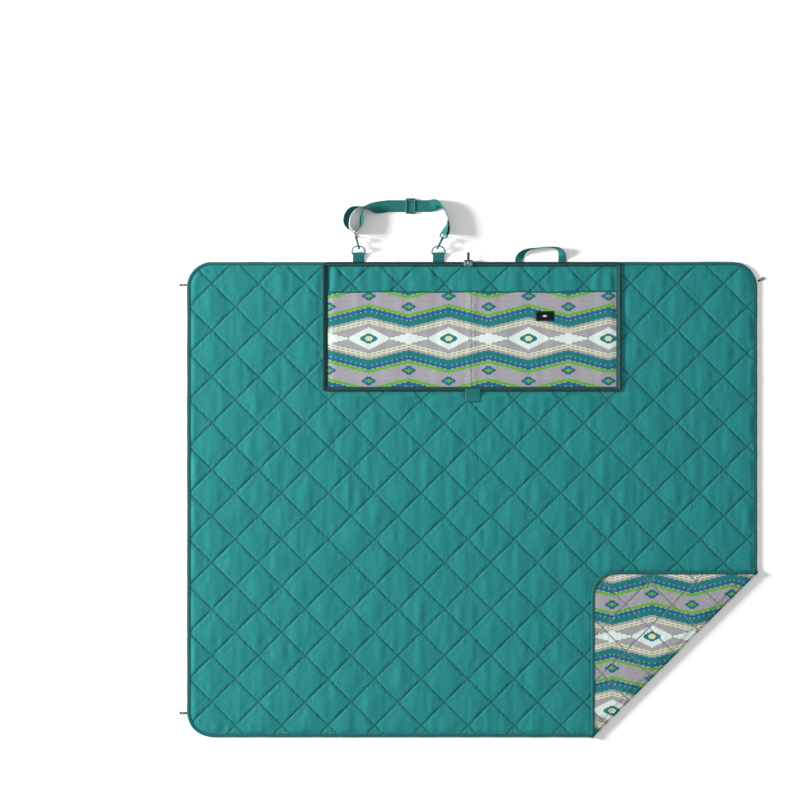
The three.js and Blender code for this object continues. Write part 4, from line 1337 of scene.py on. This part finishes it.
handle_teal = sewn_cloth("polyester_handle_webbing", "0b5553", "157270", 1.9, [-9.5, 9.5], "0b4a48")
points, faces, lay = swept(handle_line[:, :3], handle_line[:, 3:], rounded_section(25.0, 2.4))
grip = new_piece("grab_handle_webbing", points, faces, handle_teal, lay, closed=True)
fitted(grip, "grab_handle", "grab_handle")
for side, x in (("left", handle_left), ("right", handle_right)):
    anchor_line = [(x, y, 0.65) for y in np.linspace(722, 763.4, 8)]
    points, faces, lay = swept(anchor_line, (1.0, 0, 0), rounded_section(25.0, 1.1))
    anchor = new_piece(f"{side}_handle_end", points, faces, handle_teal, lay, closed=True)
    fitted(anchor, "right_half", f"handle_anchor_{side}")


def braided_cord():
    """Round braided polyester cord, nearly black: matt, with slanting strands and painted shade between them.
    """
    material, tree, shader = new_material("braided_cord_dark", 0.75)
    lay, _, _ = flat_place(tree)
    strands = add(tree, "ShaderNodeTexWave", {"Vector": lay, "Scale": 0.55}, bands_direction="DIAGONAL")
    shade = strands.node.outputs["Fac"]
    # painted shade: the low bands of the strand wave are darker, standing in for shade between the strands
    tree.links.new(mix(tree, shade, hex_colour("08201f"), hex_colour("17393a")), shader.inputs["Base Color"])
    bump = add(tree, "ShaderNodeBump", {"Height": shade, "Distance": 0.3 * MM})
    tree.links.new(bump, shader.inputs["Normal"])
    return material


cord_dark = braided_cord()
loop_line = through(
    [(0.0, -1.6, 0), (6, -1.8, 0), (13, -2.5, 0), (18.5, -3.0, 0), (21.4, -2.2, 0), (22.4, 0, 0)]
    + [(21.4, 2.2, 0), (18.5, 3.0, 0), (13, 2.5, 0), (6, 1.8, 0), (0.0, 1.6, 0)],
    5,
)
loop_mesh = swept(loop_line, (0, 0, 1.0), rounded_section(2.8, 2.8, 10, 0.9))
for name, x, y, degrees, z in (
    ("left_top", -half_width - 0.4, 688, 180, 1.5),
    ("left_bottom", -half_width - 0.4, -685, 180, 1.5),
    ("right_top", half_width + 2.9, 700, 28, 1.5),
    ("corner", half_width - 1, -685, 180, fold_height),
):
    points = turned_about(loop_mesh[0], 2, degrees) + (x, y, z)
    points = turn_over(points) if name == "corner" else points
    loop = new_piece(f"{name}_stake_cord", points, loop_mesh[1], cord_dark, loop_mesh[2], closed=True)
    body = "turned_corner" if name == "corner" else f"stake_loop_{name}"
    fitted(loop, body, f"stake_loop_{name}")

bpy.context.view_layer.update()
